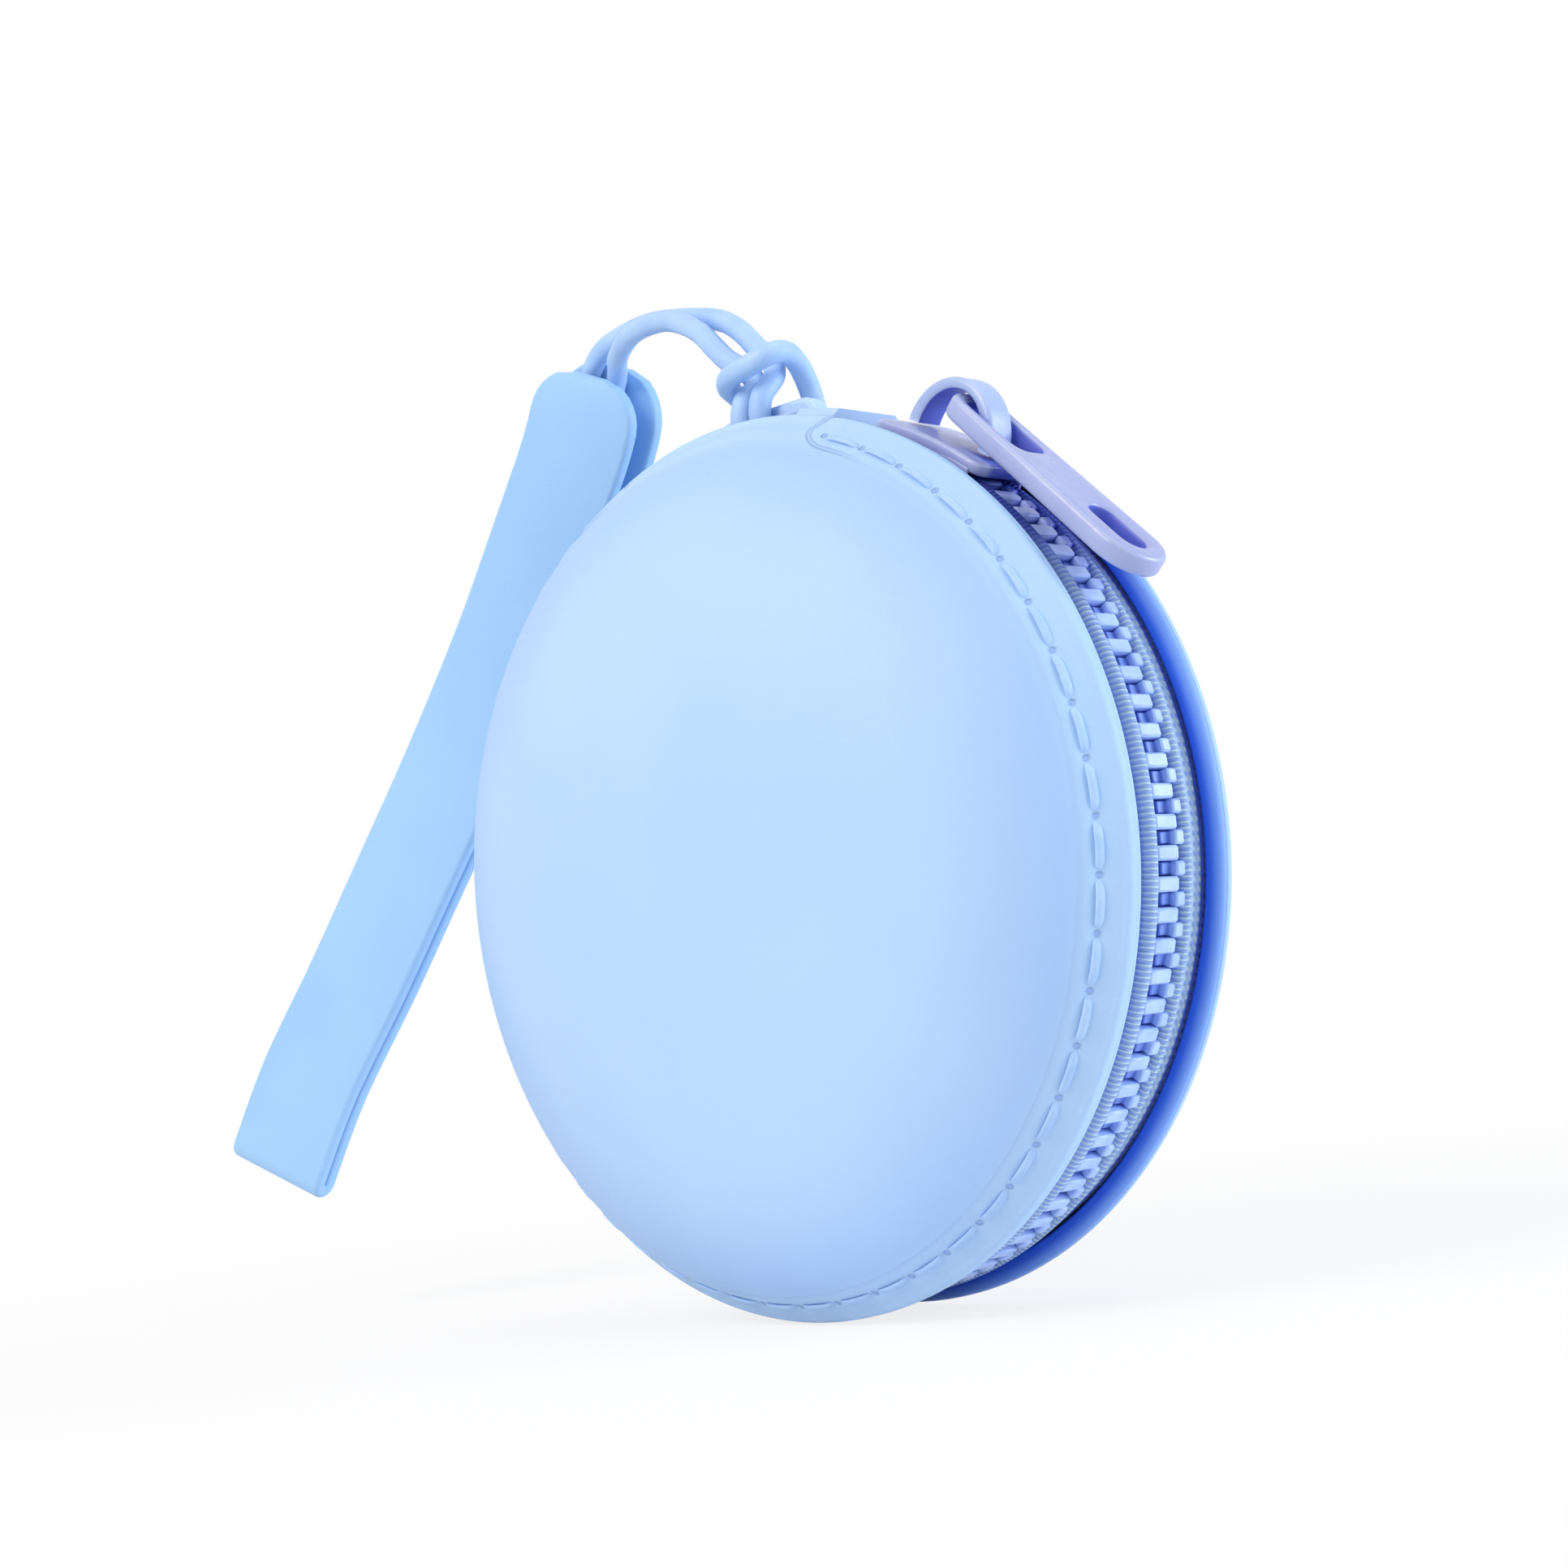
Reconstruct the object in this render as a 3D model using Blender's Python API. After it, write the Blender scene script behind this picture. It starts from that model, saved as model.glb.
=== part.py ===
"""Round zipped coin holder with a cord loop and a folded wrist strap.

Metres, +Z up. The zip lies in the plane Y = 0, the front dome faces -Y and the lug is at the top.
The frame's origin is the middle of the hole under the lug's bar.
"""

import math

import bmesh
import bpy
from mathutils import Vector

for old_object in list(bpy.data.objects):
    bpy.data.objects.remove(old_object, do_unlink=True)

# Case: two domes, one on each side of the zip
case_radius = 0.0425
zip_band_width = 0.0110
dome_depth = 0.0152
shell_wall = 0.0018
lip_height = 0.0004
lip_width = 0.0017
rim_rounding = 0.0005
fit_gap = 0.0003
ring_steps = 64
dome_steps = 8
inner_steps = 6

# Stitch line
stitch_offset = 0.0036
groove_width = 0.0017
groove_depth = 0.0007
thread_width = 0.0009
thread_height = 0.0005
stitch_pitch = 0.00485
thread_pinch_share = 0.45

# Zip tapes
tape_thickness = 0.0005
tape_tuck_depth = 0.0048
tape_steps = 58

# Zip chain
tooth_reach = 0.0011
tooth_tip_gap = 0.0008
tooth_length = 0.0010
tooth_pitch = 0.0026
tooth_height = 0.0026
bead_width = 0.0012
bead_height = 0.0017
chain_start_deg = 57.1
chain_end_deg = 130.3
stop_length = 0.0014
stop_height = 0.0024
stop_gap = 0.0008

# Hinge web, lug and end tabs at the top
web_half_deg = 17.4
web_thickness = 0.0012
tab_outer_deg = 16.5
tab_half_width = 0.0046
tab_thickness = 0.0029
lug_half_length = 0.0067
lug_leg = 0.0013
lug_thickness = 0.0024
lug_hole_height = 0.0028
lug_bar_height = 0.0018
lug_corner = 0.0020
lug_rounding = 0.0005

# Slider
slider_deg = 58.0
slider_length = 0.0126
slider_plate = 0.0012
slider_clearance = 0.00045
slot_clearance = 0.00035
slider_side_gap = 0.0006
flange_width = 0.0008
wedge_length = 0.0042
wedge_clearance = 0.0004
seat_overlap = 0.0002
crown_rise = 0.0044
crown_thickness = 0.0011
crown_width = 0.0032
crown_foot = 0.0015
crown_length = 0.0104
crown_steps = 14

# Puller
puller_length = 0.0260
puller_width = 0.0074
puller_thickness = 0.0020
puller_lift = 0.0031
puller_rest_gap = 0.00076
puller_bar_half = 0.0007
puller_rail = 0.0016
puller_window_gap = 0.0030
puller_hole_length = 0.0066
puller_hole_width = 0.0030
puller_tip_margin = 0.0020
puller_edge = 0.0003

# Wrist strap
strap_width = 0.0140
strap_length = 0.1000
strap_layer = 0.0016
strap_fold_gap = 0.0004
strap_corner = 0.0050
strap_grip = 0.0060
strap_open_length = 0.0300
strap_edge = 0.0003
back_layer_rise = 0.0010
strap_steps = 14
strap_width_dir = Vector((0.88, 0.20, -0.43)).normalized()

# Cord, and its route from one end in the strap through the hitch to the other end
cord_diameter = 0.0022
cord_route = [
    (-0.03580, 0.00695, 0.05250),
    (-0.03280, 0.00690, 0.05770),
    (-0.02980, 0.00640, 0.05940),
    (-0.02620, 0.00600, 0.05990),
    (-0.02130, 0.00540, 0.05980),
    (-0.01520, 0.00430, 0.05850),
    (-0.00890, 0.00290, 0.05650),
    (-0.00500, 0.00180, 0.05430),
    (-0.00200, 0.00110, 0.05150),
    (0.00030, 0.00050, 0.04970),
    (0.00130, -0.00060, 0.04770),
    (0.00110, -0.00220, 0.04590),
    (0.00090, -0.00262, 0.04430),
    (0.00090, -0.00255, 0.04310),
    (0.00100, -0.00215, 0.04205),
    (0.00140, -0.00120, 0.04162),
    (0.00260, 0.00110, 0.04162),
    (0.00320, 0.00215, 0.04205),
    (0.00330, 0.00257, 0.04330),
    (0.00320, 0.00262, 0.04500),
    (0.00300, 0.00220, 0.04700),
    (0.00330, 0.00070, 0.04880),
    (0.00390, -0.00150, 0.04940),
    (0.00350, -0.00350, 0.04900),
    (0.00120, -0.00420, 0.04830),
    (-0.00150, -0.00370, 0.04810),
    (-0.00390, -0.00180, 0.04790),
    (-0.00500, 0.00060, 0.04740),
    (-0.00500, 0.00220, 0.04620),
    (-0.00450, 0.00262, 0.04460),
    (-0.00410, 0.00256, 0.04320),
    (-0.00390, 0.00215, 0.04205),
    (-0.00330, 0.00110, 0.04162),
    (-0.00210, -0.00120, 0.04162),
    (-0.00170, -0.00215, 0.04205),
    (-0.00160, -0.00255, 0.04310),
    (-0.00160, -0.00262, 0.04430),
    (-0.00140, -0.00215, 0.04590),
    (-0.00120, -0.00060, 0.04740),
    (-0.00270, -0.00010, 0.04930),
    (-0.00480, -0.00040, 0.05090),
    (-0.00660, -0.00020, 0.05260),
    (-0.01000, 0.00080, 0.05550),
    (-0.01520, 0.00190, 0.05800),
    (-0.02160, 0.00330, 0.05870),
    (-0.02630, 0.00500, 0.05760),
    (-0.02960, 0.00750, 0.05610),
    (-0.03260, 0.00770, 0.05090),
]

# Line of the strap's middle from its top, as shares of the strap's length
strap_line_shares = [
    (0.000, 0.000, 0.000),
    (-0.044, 0.004, -0.076),
    (-0.146, 0.001, -0.200),
    (-0.229, -0.004, -0.297),
    (-0.313, -0.012, -0.398),
    (-0.389, -0.032, -0.503),
    (-0.456, -0.059, -0.609),
    (-0.529, -0.087, -0.717),
    (-0.578, -0.108, -0.812),
]

# Sizes that follow from the ones above
rim_y = zip_band_width / 2
shell_inner_radius = case_radius - shell_wall
tape_outer_radius = shell_inner_radius - fit_gap
tape_inner_radius = tape_outer_radius - tape_thickness
chain_radius = (tape_outer_radius + tape_inner_radius) / 2
bead_inner_y = tooth_reach + tooth_tip_gap
bead_outer_y = bead_inner_y + bead_width
tape_edge_y = bead_outer_y + fit_gap
web_outer_radius = tape_outer_radius - (tape_thickness - web_thickness / 4)
web_inner_radius = web_outer_radius - web_thickness
lug_base_z = web_outer_radius + fit_gap
lug_hole_top_z = web_outer_radius + lug_hole_height
lug_top_z = lug_hole_top_z + lug_bar_height
tab_inner_deg = math.degrees(math.asin((lug_half_length + fit_gap) / math.hypot(lug_half_length, lug_base_z)))
origin_z = (web_outer_radius + lug_hole_top_z) / 2
hinge_centre = Vector((0.0, -rim_y + fit_gap / 2, case_radius + fit_gap))
channel_inner_radius = chain_radius - tooth_height / 2 - slider_clearance
channel_outer_radius = chain_radius + tooth_height / 2 + slider_clearance
slider_inner_radius = channel_inner_radius - slider_plate
slider_outer_radius = channel_outer_radius + slider_plate
flange_inner_y = bead_outer_y + slider_side_gap
slider_half_width = flange_inner_y + flange_width
slider_half_deg = math.degrees(slider_length / 2 / channel_outer_radius)
pivot_radius = slider_outer_radius + puller_lift
crown_inner_radius = slider_outer_radius + crown_rise
crown_outer_radius = crown_inner_radius + crown_thickness
crown_half_length = crown_length / 2
case_offset = Vector((0.0, 0.0, -origin_z))


def polar(radius, degrees, y):
    """Point at an angle measured from +X towards +Z."""
    angle = math.radians(degrees)
    return Vector((radius * math.cos(angle), y, radius * math.sin(angle)))


def material(name, colour, roughness, metallic=0.0):
    made = bpy.data.materials.new(name)
    made.use_nodes = True
    shader = made.node_tree.nodes["Principled BSDF"]
    shader.inputs["Base Color"].default_value = (*colour, 1.0)
    shader.inputs["Roughness"].default_value = roughness
    shader.inputs["Metallic"].default_value = metallic
    return made


body_blue = (0.45, 0.68, 0.95)
shade_blue = (0.33, 0.55, 0.92)
tape_blue = (0.38, 0.55, 0.85)
strap_blue = (0.42, 0.64, 0.94)
metal_lavender = (0.50, 0.53, 0.90)


def hinge_empty(name, centre, parent=None):
    """Empty on a joint's axis, placed in the part's frame."""
    empty = bpy.data.objects.new(name, None)
    bpy.context.collection.objects.link(empty)
    empty.location = centre + case_offset
    if parent is not None:
        empty.parent = parent
        empty.location = centre - Vector(parent["case_place"])
    empty["case_place"] = centre
    return empty


def place(bm, name, colour, roughness, metallic=0.0, origin=None, parent=None, smooth_deg=35.0):
    """Turn a bmesh in case coordinates into an object whose origin is the given point."""
    origin = Vector((0.0, 0.0, 0.0)) if origin is None else Vector(origin)
    bmesh.ops.remove_doubles(bm, verts=bm.verts, dist=fit_gap / 1000)
    bmesh.ops.translate(bm, verts=bm.verts, vec=-origin)
    bmesh.ops.recalc_face_normals(bm, faces=bm.faces)
    mesh = bpy.data.meshes.new(name)
    bm.to_mesh(mesh)
    bm.free()
    mesh.shade_smooth()
    mesh.set_sharp_from_angle(angle=math.radians(smooth_deg))
    mesh.materials.append(material(name, colour, roughness, metallic))
    made = bpy.data.objects.new(name, mesh)
    bpy.context.collection.objects.link(made)
    if parent is None:
        made.location = origin + case_offset
    else:
        made.parent = parent
        made.location = origin - Vector(parent["case_place"])
    return made


def turned(profile, start_deg=0.0, sweep_deg=360.0, steps=ring_steps):
    """Solid made by turning (radius, y) points about the case's axis."""
    bm = bmesh.new()
    full = sweep_deg >= 360.0
    points = [bm.verts.new(polar(radius, start_deg, y)) for radius, y in profile]
    if full:
        edges = [bm.edges.new((points[i], points[i + 1])) for i in range(len(points) - 1)]
        if profile[0][0] > 0.0:
            edges.append(bm.edges.new((points[-1], points[0])))
        geometry = points + edges
    else:
        geometry = [bm.faces.new(points)] + points
        geometry += list(bm.edges)
    bmesh.ops.spin(bm, geom=geometry, cent=(0.0, 0.0, 0.0), axis=(0.0, -1.0, 0.0),
                   angle=math.radians(sweep_deg), steps=steps, use_merge=full)
    return bm


def extruded(outline, y_from, y_to):
    """Closed outline of (x, z) points pushed along Y."""
    bm = bmesh.new()
    face = bm.faces.new([bm.verts.new((x, y_from, z)) for x, z in outline])
    pushed = bmesh.ops.extrude_face_region(bm, geom=[face])
    moved = [item for item in pushed["geom"] if isinstance(item, bmesh.types.BMVert)]
    bmesh.ops.translate(bm, verts=moved, vec=(0.0, y_to - y_from, 0.0))
    return bm


def arc_points(centre_x, centre_z, radius, from_deg, to_deg, steps):
    turns = [from_deg + (to_deg - from_deg) * step / steps for step in range(steps + 1)]
    return [(centre_x + radius * math.cos(math.radians(turn)),
             centre_z + radius * math.sin(math.radians(turn))) for turn in turns]


def combine(target, other, operation):
    """Boolean that keeps the other solid out of the finished part."""
    other.hide_render = True
    other.display_type = "WIRE"
    cut = target.modifiers.new(other.name, "BOOLEAN")
    cut.operation = operation
    cut.solver = "EXACT"
    cut.object = other
    return cut


def add_bevel(made, width, segments=2, angle_deg=40.0):
    bevel = made.modifiers.new("edges", "BEVEL")
    bevel.width = width
    bevel.segments = segments
    bevel.limit_method = "ANGLE"
    bevel.angle_limit = math.radians(angle_deg)
    return bevel


# Shells

def ellipse_radius(radius, depth, offset):
    """Radius of a dome at a distance from its rim plane."""
    return radius * math.sqrt(max(0.0, 1.0 - (offset / depth) ** 2))


def shell_inner_line():
    """Inner face of a dome from its rim to its middle."""
    inner_depth = dome_depth - shell_wall
    turns = [math.pi / 2 * step / inner_steps for step in range(inner_steps)]
    line = [(shell_inner_radius * math.cos(turn), inner_depth * math.sin(turn)) for turn in turns]
    return line + [(0.0, inner_depth)]


def shell_profile(side):
    lip_radius = case_radius
    dome_radius = case_radius - lip_height
    groove_near = stitch_offset - groove_width / 2
    groove_far = stitch_offset + groove_width / 2
    start = math.asin(groove_far / dome_depth)
    points = []
    for step in range(dome_steps):
        angle = math.pi / 2 + (start - math.pi / 2) * step / dome_steps
        points.append((dome_radius * math.cos(angle), dome_depth * math.sin(angle)))
    points[0] = (0.0, dome_depth)
    points.append((ellipse_radius(dome_radius, dome_depth, groove_far), groove_far))
    points.append((ellipse_radius(dome_radius, dome_depth, groove_far) - groove_depth,
                   groove_far - groove_depth / 2))
    points.append((ellipse_radius(dome_radius, dome_depth, groove_near) - groove_depth,
                   groove_near + groove_depth / 4))
    points.append((ellipse_radius(dome_radius, dome_depth, groove_near), groove_near))
    points.append((dome_radius, lip_width + lip_height))
    points.append((lip_radius, lip_width))
    points.append((lip_radius, rim_rounding))
    points.append((lip_radius - rim_rounding, 0.0))
    points += shell_inner_line()
    return [(radius, side * (rim_y + offset)) for radius, offset in points]


def make_shell(name, side, colour, parent=None):
    bm = turned(shell_profile(side))
    return place(bm, name, colour, 0.55, parent=parent)


# Stitching

def make_thread(name, side, parent=None):
    """Seam thread as one ring, pinched at each needle hole."""
    dome_radius = case_radius - lip_height
    middle_radius = ellipse_radius(dome_radius, dome_depth, stitch_offset) - groove_depth
    middle_radius += fit_gap + thread_height / 2
    middle_y = side * (rim_y + stitch_offset)
    stitches = round(2 * math.pi * middle_radius / stitch_pitch)
    steps = 2 * stitches
    bm = bmesh.new()
    rings = []
    for step in range(steps):
        scale = thread_pinch_share if step % 2 == 0 else 1.0
        half_y = scale * thread_width / 2
        half_r = scale * thread_height / 2
        corners = [(half_r, 0.0), (0.0, half_y), (-half_r, 0.0), (0.0, -half_y)]
        rings.append([bm.verts.new(polar(middle_radius + dr, 360.0 * step / steps, middle_y + dy))
                      for dr, dy in corners])
    for step in range(steps):
        near = rings[step]
        far = rings[(step + 1) % steps]
        for side_index in range(4):
            following = (side_index + 1) % 4
            bm.faces.new((near[side_index], near[following], far[following], far[side_index]))
    return place(bm, name, shade_blue, 0.7, parent=parent)


# Hinge web, lug and end tabs

def tuck_line(radius_gap):
    """Points just inside the shell's inner face, from the rim plane inwards."""
    line = shell_inner_line()
    points = []
    for near, far in zip(line, line[1:]):
        if far[1] >= tape_tuck_depth:
            share = (tape_tuck_depth - near[1]) / (far[1] - near[1])
            points.append((near[0] + (far[0] - near[0]) * share - radius_gap, tape_tuck_depth))
            return points
        points.append((far[0] - radius_gap, far[1]))
    return points


def strip_profile(side, edge_y, outer_radius, inner_radius, slack):
    """Flat strip up to the rim plane that then follows the inside of the shell."""
    thickness = outer_radius - inner_radius
    outer = [(outer_radius, edge_y), (outer_radius, rim_y - fit_gap)]
    inner = [(inner_radius, edge_y), (inner_radius, rim_y - fit_gap)]
    for radius, offset in tuck_line(slack):
        outer.append((radius, rim_y + offset))
        inner.append((radius - thickness, rim_y + offset))
    points = outer + inner[::-1]
    return [(radius, side * y) for radius, y in points]


def make_web():
    profile = strip_profile(1, -(rim_y - fit_gap), web_outer_radius, web_inner_radius,
                            shell_inner_radius - web_outer_radius)
    bm = turned(profile, 90.0 - web_half_deg, 2 * web_half_deg, 8)
    return place(bm, "hinge_web", shade_blue, 0.6)


def make_lug():
    half = lug_half_length
    outline = [(half, lug_base_z)]
    outline += arc_points(half - lug_corner, lug_top_z - lug_corner, lug_corner, 0.0, 90.0, 5)
    outline += arc_points(lug_corner - half, lug_top_z - lug_corner, lug_corner, 90.0, 180.0, 5)
    outline.append((-half, lug_base_z))
    outline += [(lug_leg - half, lug_base_z), (lug_leg - half, lug_hole_top_z),
                (half - lug_leg, lug_hole_top_z), (half - lug_leg, lug_base_z)]
    bm = extruded(outline, -lug_thickness / 2, lug_thickness / 2)
    made = place(bm, "strap_lug", body_blue, 0.5)
    add_bevel(made, lug_rounding)
    return made


def make_tab(name, start_deg):
    base = web_outer_radius + fit_gap
    rounding = tab_thickness / 4
    profile = [(base, -tab_half_width), (base + tab_thickness - rounding, -tab_half_width),
               (base + tab_thickness, rounding - tab_half_width),
               (base + tab_thickness, tab_half_width - rounding),
               (base + tab_thickness - rounding, tab_half_width), (base, tab_half_width)]
    bm = turned(profile, start_deg, tab_outer_deg - tab_inner_deg, 4)
    return place(bm, name, body_blue, 0.55)


# Zip tapes, rows of teeth and stops

def stop_span(near_deg, direction):
    """Start and end angle of a stop that begins beside a given angle."""
    gap_deg = math.degrees(stop_gap / chain_radius)
    length_deg = math.degrees(stop_length / chain_radius)
    first = near_deg + direction * gap_deg
    return min(first, first + direction * length_deg), length_deg


top_stop_start, stop_deg = stop_span(slider_deg + slider_half_deg, 1)
bottom_stop_start, stop_deg = stop_span(chain_end_deg, -1)


def make_tape(name, side, parent=None):
    """Tape that meets its neighbour past the bottom stop."""
    gap_deg = math.degrees(fit_gap * 1.5 / tape_inner_radius)
    start = 90.0 + web_half_deg + gap_deg
    sweep = 360.0 - 2 * web_half_deg - 2 * gap_deg
    profile = strip_profile(side, tape_edge_y, tape_outer_radius, tape_inner_radius,
                            shell_inner_radius - tape_outer_radius)
    bm = turned(profile, start, sweep, tape_steps)
    join_end = bottom_stop_start - sweep / tape_steps
    for vert in bm.verts:
        degrees = math.degrees(math.atan2(vert.co.z, vert.co.x))
        at_edge = abs(abs(vert.co.y) - tape_edge_y) < fit_gap / 10
        if at_edge and 90.0 < degrees < join_end:
            vert.co.y = side * fit_gap / 2
    return place(bm, name, tape_blue, 0.9, parent=parent)


def make_teeth(name, side, phase, parent=None):
    """Bead with its comb of teeth, as one body."""
    pitch_deg = math.degrees(tooth_pitch / chain_radius)
    tooth_deg = math.degrees(tooth_length / chain_radius)
    lead_end = top_stop_start - math.degrees(fit_gap / chain_radius)
    span = chain_start_deg + 360.0 - chain_end_deg
    count = int(span / pitch_deg)
    angles = [(lead_end, False), ((lead_end + chain_start_deg) / 2, False)]
    for index in range(count):
        tooth_start = chain_start_deg - (index + phase) * pitch_deg
        angles.append((tooth_start, True))
        angles.append((tooth_start - tooth_deg, False))
    angles.append((chain_start_deg - (count + phase) * pitch_deg + pitch_deg / 4, False))
    bm = bmesh.new()
    half = bead_height / 2
    corners = [(-half, bead_inner_y), (half, bead_inner_y), (half, bead_outer_y), (-half, bead_outer_y)]
    rings = []
    for degrees, _ in angles:
        rings.append([bm.verts.new(polar(chain_radius + dr, degrees, side * y)) for dr, y in corners])
    tooth_faces = []
    for index in range(len(rings) - 1):
        near = rings[index]
        far = rings[index + 1]
        for corner in range(4):
            following = (corner + 1) % 4
            face = bm.faces.new((near[corner], near[following], far[following], far[corner]))
            if corner == 0 and angles[index][1]:
                tooth_faces.append((face, angles[index][0] - tooth_deg / 2))
    bm.faces.new(rings[0])
    bm.faces.new(rings[-1][::-1])
    for face, degrees in tooth_faces:
        pushed = bmesh.ops.extrude_face_region(bm, geom=[face])
        moved = [item for item in pushed["geom"] if isinstance(item, bmesh.types.BMVert)]
        outward = polar(1.0, degrees, 0.0)
        flare = (tooth_height - bead_height) / 2
        for vert in moved:
            vert.co.y = -side * tooth_reach
            radial = Vector((vert.co.x, 0.0, vert.co.z)).length
            vert.co += outward * (flare if radial > chain_radius else -flare)
        if face.is_valid:
            bmesh.ops.delete(bm, geom=[face], context="FACES_ONLY")
    return place(bm, name, shade_blue, 0.5, parent=parent)


def make_stop(name, start_deg, y_from, y_to, parent=None):
    half = stop_height / 2
    profile = [(chain_radius - half, y_from), (chain_radius + half, y_from),
               (chain_radius + half, y_to), (chain_radius - half, y_to)]
    bm = turned(profile, start_deg, stop_deg, 1)
    made = place(bm, name, metal_lavender, 0.4, parent=parent)
    add_bevel(made, stop_height / 10)
    return made


# Slider

def make_slider(parent):
    start = slider_deg - slider_half_deg
    sweep = 2 * slider_half_deg
    half = slider_half_width
    slot_outer = tape_outer_radius + slot_clearance
    slot_inner = tape_inner_radius - slot_clearance
    outer = [(slider_outer_radius - slider_plate / 4, -half), (slider_outer_radius, slider_plate / 4 - half),
             (slider_outer_radius, half - slider_plate / 4), (slider_outer_radius - slider_plate / 4, half),
             (slot_outer, half), (slot_outer, flange_inner_y), (channel_outer_radius, flange_inner_y),
             (channel_outer_radius, -flange_inner_y), (slot_outer, -flange_inner_y), (slot_outer, -half)]
    inner = [(slider_inner_radius, -half), (slider_inner_radius, half), (slot_inner, half),
             (slot_inner, flange_inner_y), (channel_inner_radius, flange_inner_y),
             (channel_inner_radius, -flange_inner_y), (slot_inner, -flange_inner_y), (slot_inner, -half)]
    body = place(turned(outer, start, sweep, 6), "slider_body", metal_lavender, 0.35, parent=parent)
    lower = place(turned(inner, start, sweep, 6), "slider_lower_plate", metal_lavender, 0.35, parent=parent)
    wedge_half = bead_inner_y - wedge_clearance
    wedge = [(channel_inner_radius - seat_overlap, -wedge_half),
             (channel_outer_radius + seat_overlap, -wedge_half),
             (channel_outer_radius + seat_overlap, wedge_half),
             (channel_inner_radius - seat_overlap, wedge_half)]
    wedge_deg = math.degrees(wedge_length / channel_outer_radius)
    wedge_start = slider_deg + slider_half_deg - wedge_deg - math.degrees(fit_gap / chain_radius)
    post = place(turned(wedge, wedge_start, wedge_deg, 2), "slider_wedge", metal_lavender, 0.35,
                 parent=parent)
    combine(body, post, "UNION")
    combine(body, lower, "UNION")
    return body


def make_crown(parent):
    """Round bail over the slider, drawn flat in the slider's own plane and turned to its angle."""
    seat_radius = slider_outer_radius + fit_gap
    turns = [math.pi * step / crown_steps for step in range(crown_steps + 1)]

    def arch(half, top):
        foot = math.sqrt(seat_radius ** 2 - half ** 2)
        return [(half * math.cos(turn), foot + (top - foot) * math.sin(turn)) for turn in turns]

    outline = arch(crown_half_length, crown_outer_radius)
    outline += reversed(arch(crown_half_length - crown_foot, crown_inner_radius))
    turn = math.radians(slider_deg - 90.0)
    turned_outline = [(x * math.cos(turn) - z * math.sin(turn), x * math.sin(turn) + z * math.cos(turn))
                      for x, z in outline]
    bm = extruded(turned_outline, -crown_width / 2, crown_width / 2)
    made = place(bm, "slider_crown", metal_lavender, 0.35, parent=parent)
    add_bevel(made, crown_width / 8)
    return made


# Puller

def make_puller(pivot, parent):
    """Flat tab along local X from the pivot, turned so that it lies along the zip."""
    lean = math.acos((slider_outer_radius + puller_rest_gap + puller_thickness / 2) / pivot_radius)
    direction = math.radians(slider_deg - 90.0) - lean
    along = Vector((math.cos(direction), 0.0, math.sin(direction)))
    across = Vector((0.0, 1.0, 0.0))
    outward = along.cross(across)

    def slab(outline, half_thickness):
        bm = bmesh.new()
        low = [bm.verts.new(pivot + along * u + across * v - outward * half_thickness) for u, v in outline]
        face = bm.faces.new(low)
        pushed = bmesh.ops.extrude_face_region(bm, geom=[face])
        moved = [item for item in pushed["geom"] if isinstance(item, bmesh.types.BMVert)]
        bmesh.ops.translate(bm, verts=moved, vec=outward * 2 * half_thickness)
        return bm

    half = puller_width / 2
    reach = math.hypot(crown_half_length, pivot_radius - slider_outer_radius) + puller_window_gap
    window_half = half - puller_rail
    rear = puller_bar_half
    outline = arc_points(puller_length - half, 0.0, half, -90.0, 90.0, 10)
    outline += [(half / 2, half), (-rear, half * 0.8), (-rear, -half * 0.8), (half / 2, -half)]
    body = place(slab(outline, puller_thickness / 2), "puller", metal_lavender, 0.35, origin=pivot,
                 parent=parent)
    corner = window_half / 2
    window = arc_points(reach - corner, window_half - corner, corner, 0.0, 90.0, 3)
    window += [(puller_bar_half, window_half), (puller_bar_half, -window_half)]
    window += arc_points(reach - corner, corner - window_half, corner, -90.0, 0.0, 3)
    hole_half = puller_hole_width / 2
    hole_far = puller_length - puller_tip_margin - hole_half
    hole_near = hole_far - puller_hole_length + puller_hole_width
    hole = arc_points(hole_far, 0.0, hole_half, -90.0, 90.0, 6)
    hole += arc_points(hole_near, 0.0, hole_half, 90.0, 270.0, 6)
    for name, shape in (("puller_window", window), ("puller_hole", hole)):
        cutter = place(slab(shape, puller_thickness), name, metal_lavender, 0.35, origin=pivot, parent=parent)
        combine(body, cutter, "DIFFERENCE")
    add_bevel(body, puller_edge, 1)
    return body


# Cord and strap

def smooth_line(points, counts):
    """Catmull-Rom curve through the points, with the given number of steps in each stretch."""
    made = []
    last = len(points) - 1
    for index in range(last):
        before = points[max(index - 1, 0)]
        first = points[index]
        second = points[index + 1]
        after = points[min(index + 2, last)]
        for step in range(counts[index]):
            t = step / counts[index]
            made.append(0.5 * ((2 * first) + (second - before) * t
                               + (2 * before - 5 * first + 4 * second - after) * t * t
                               + (3 * first - before - 3 * second + after) * t * t * t))
    made.append(points[last].copy())
    return made


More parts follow.
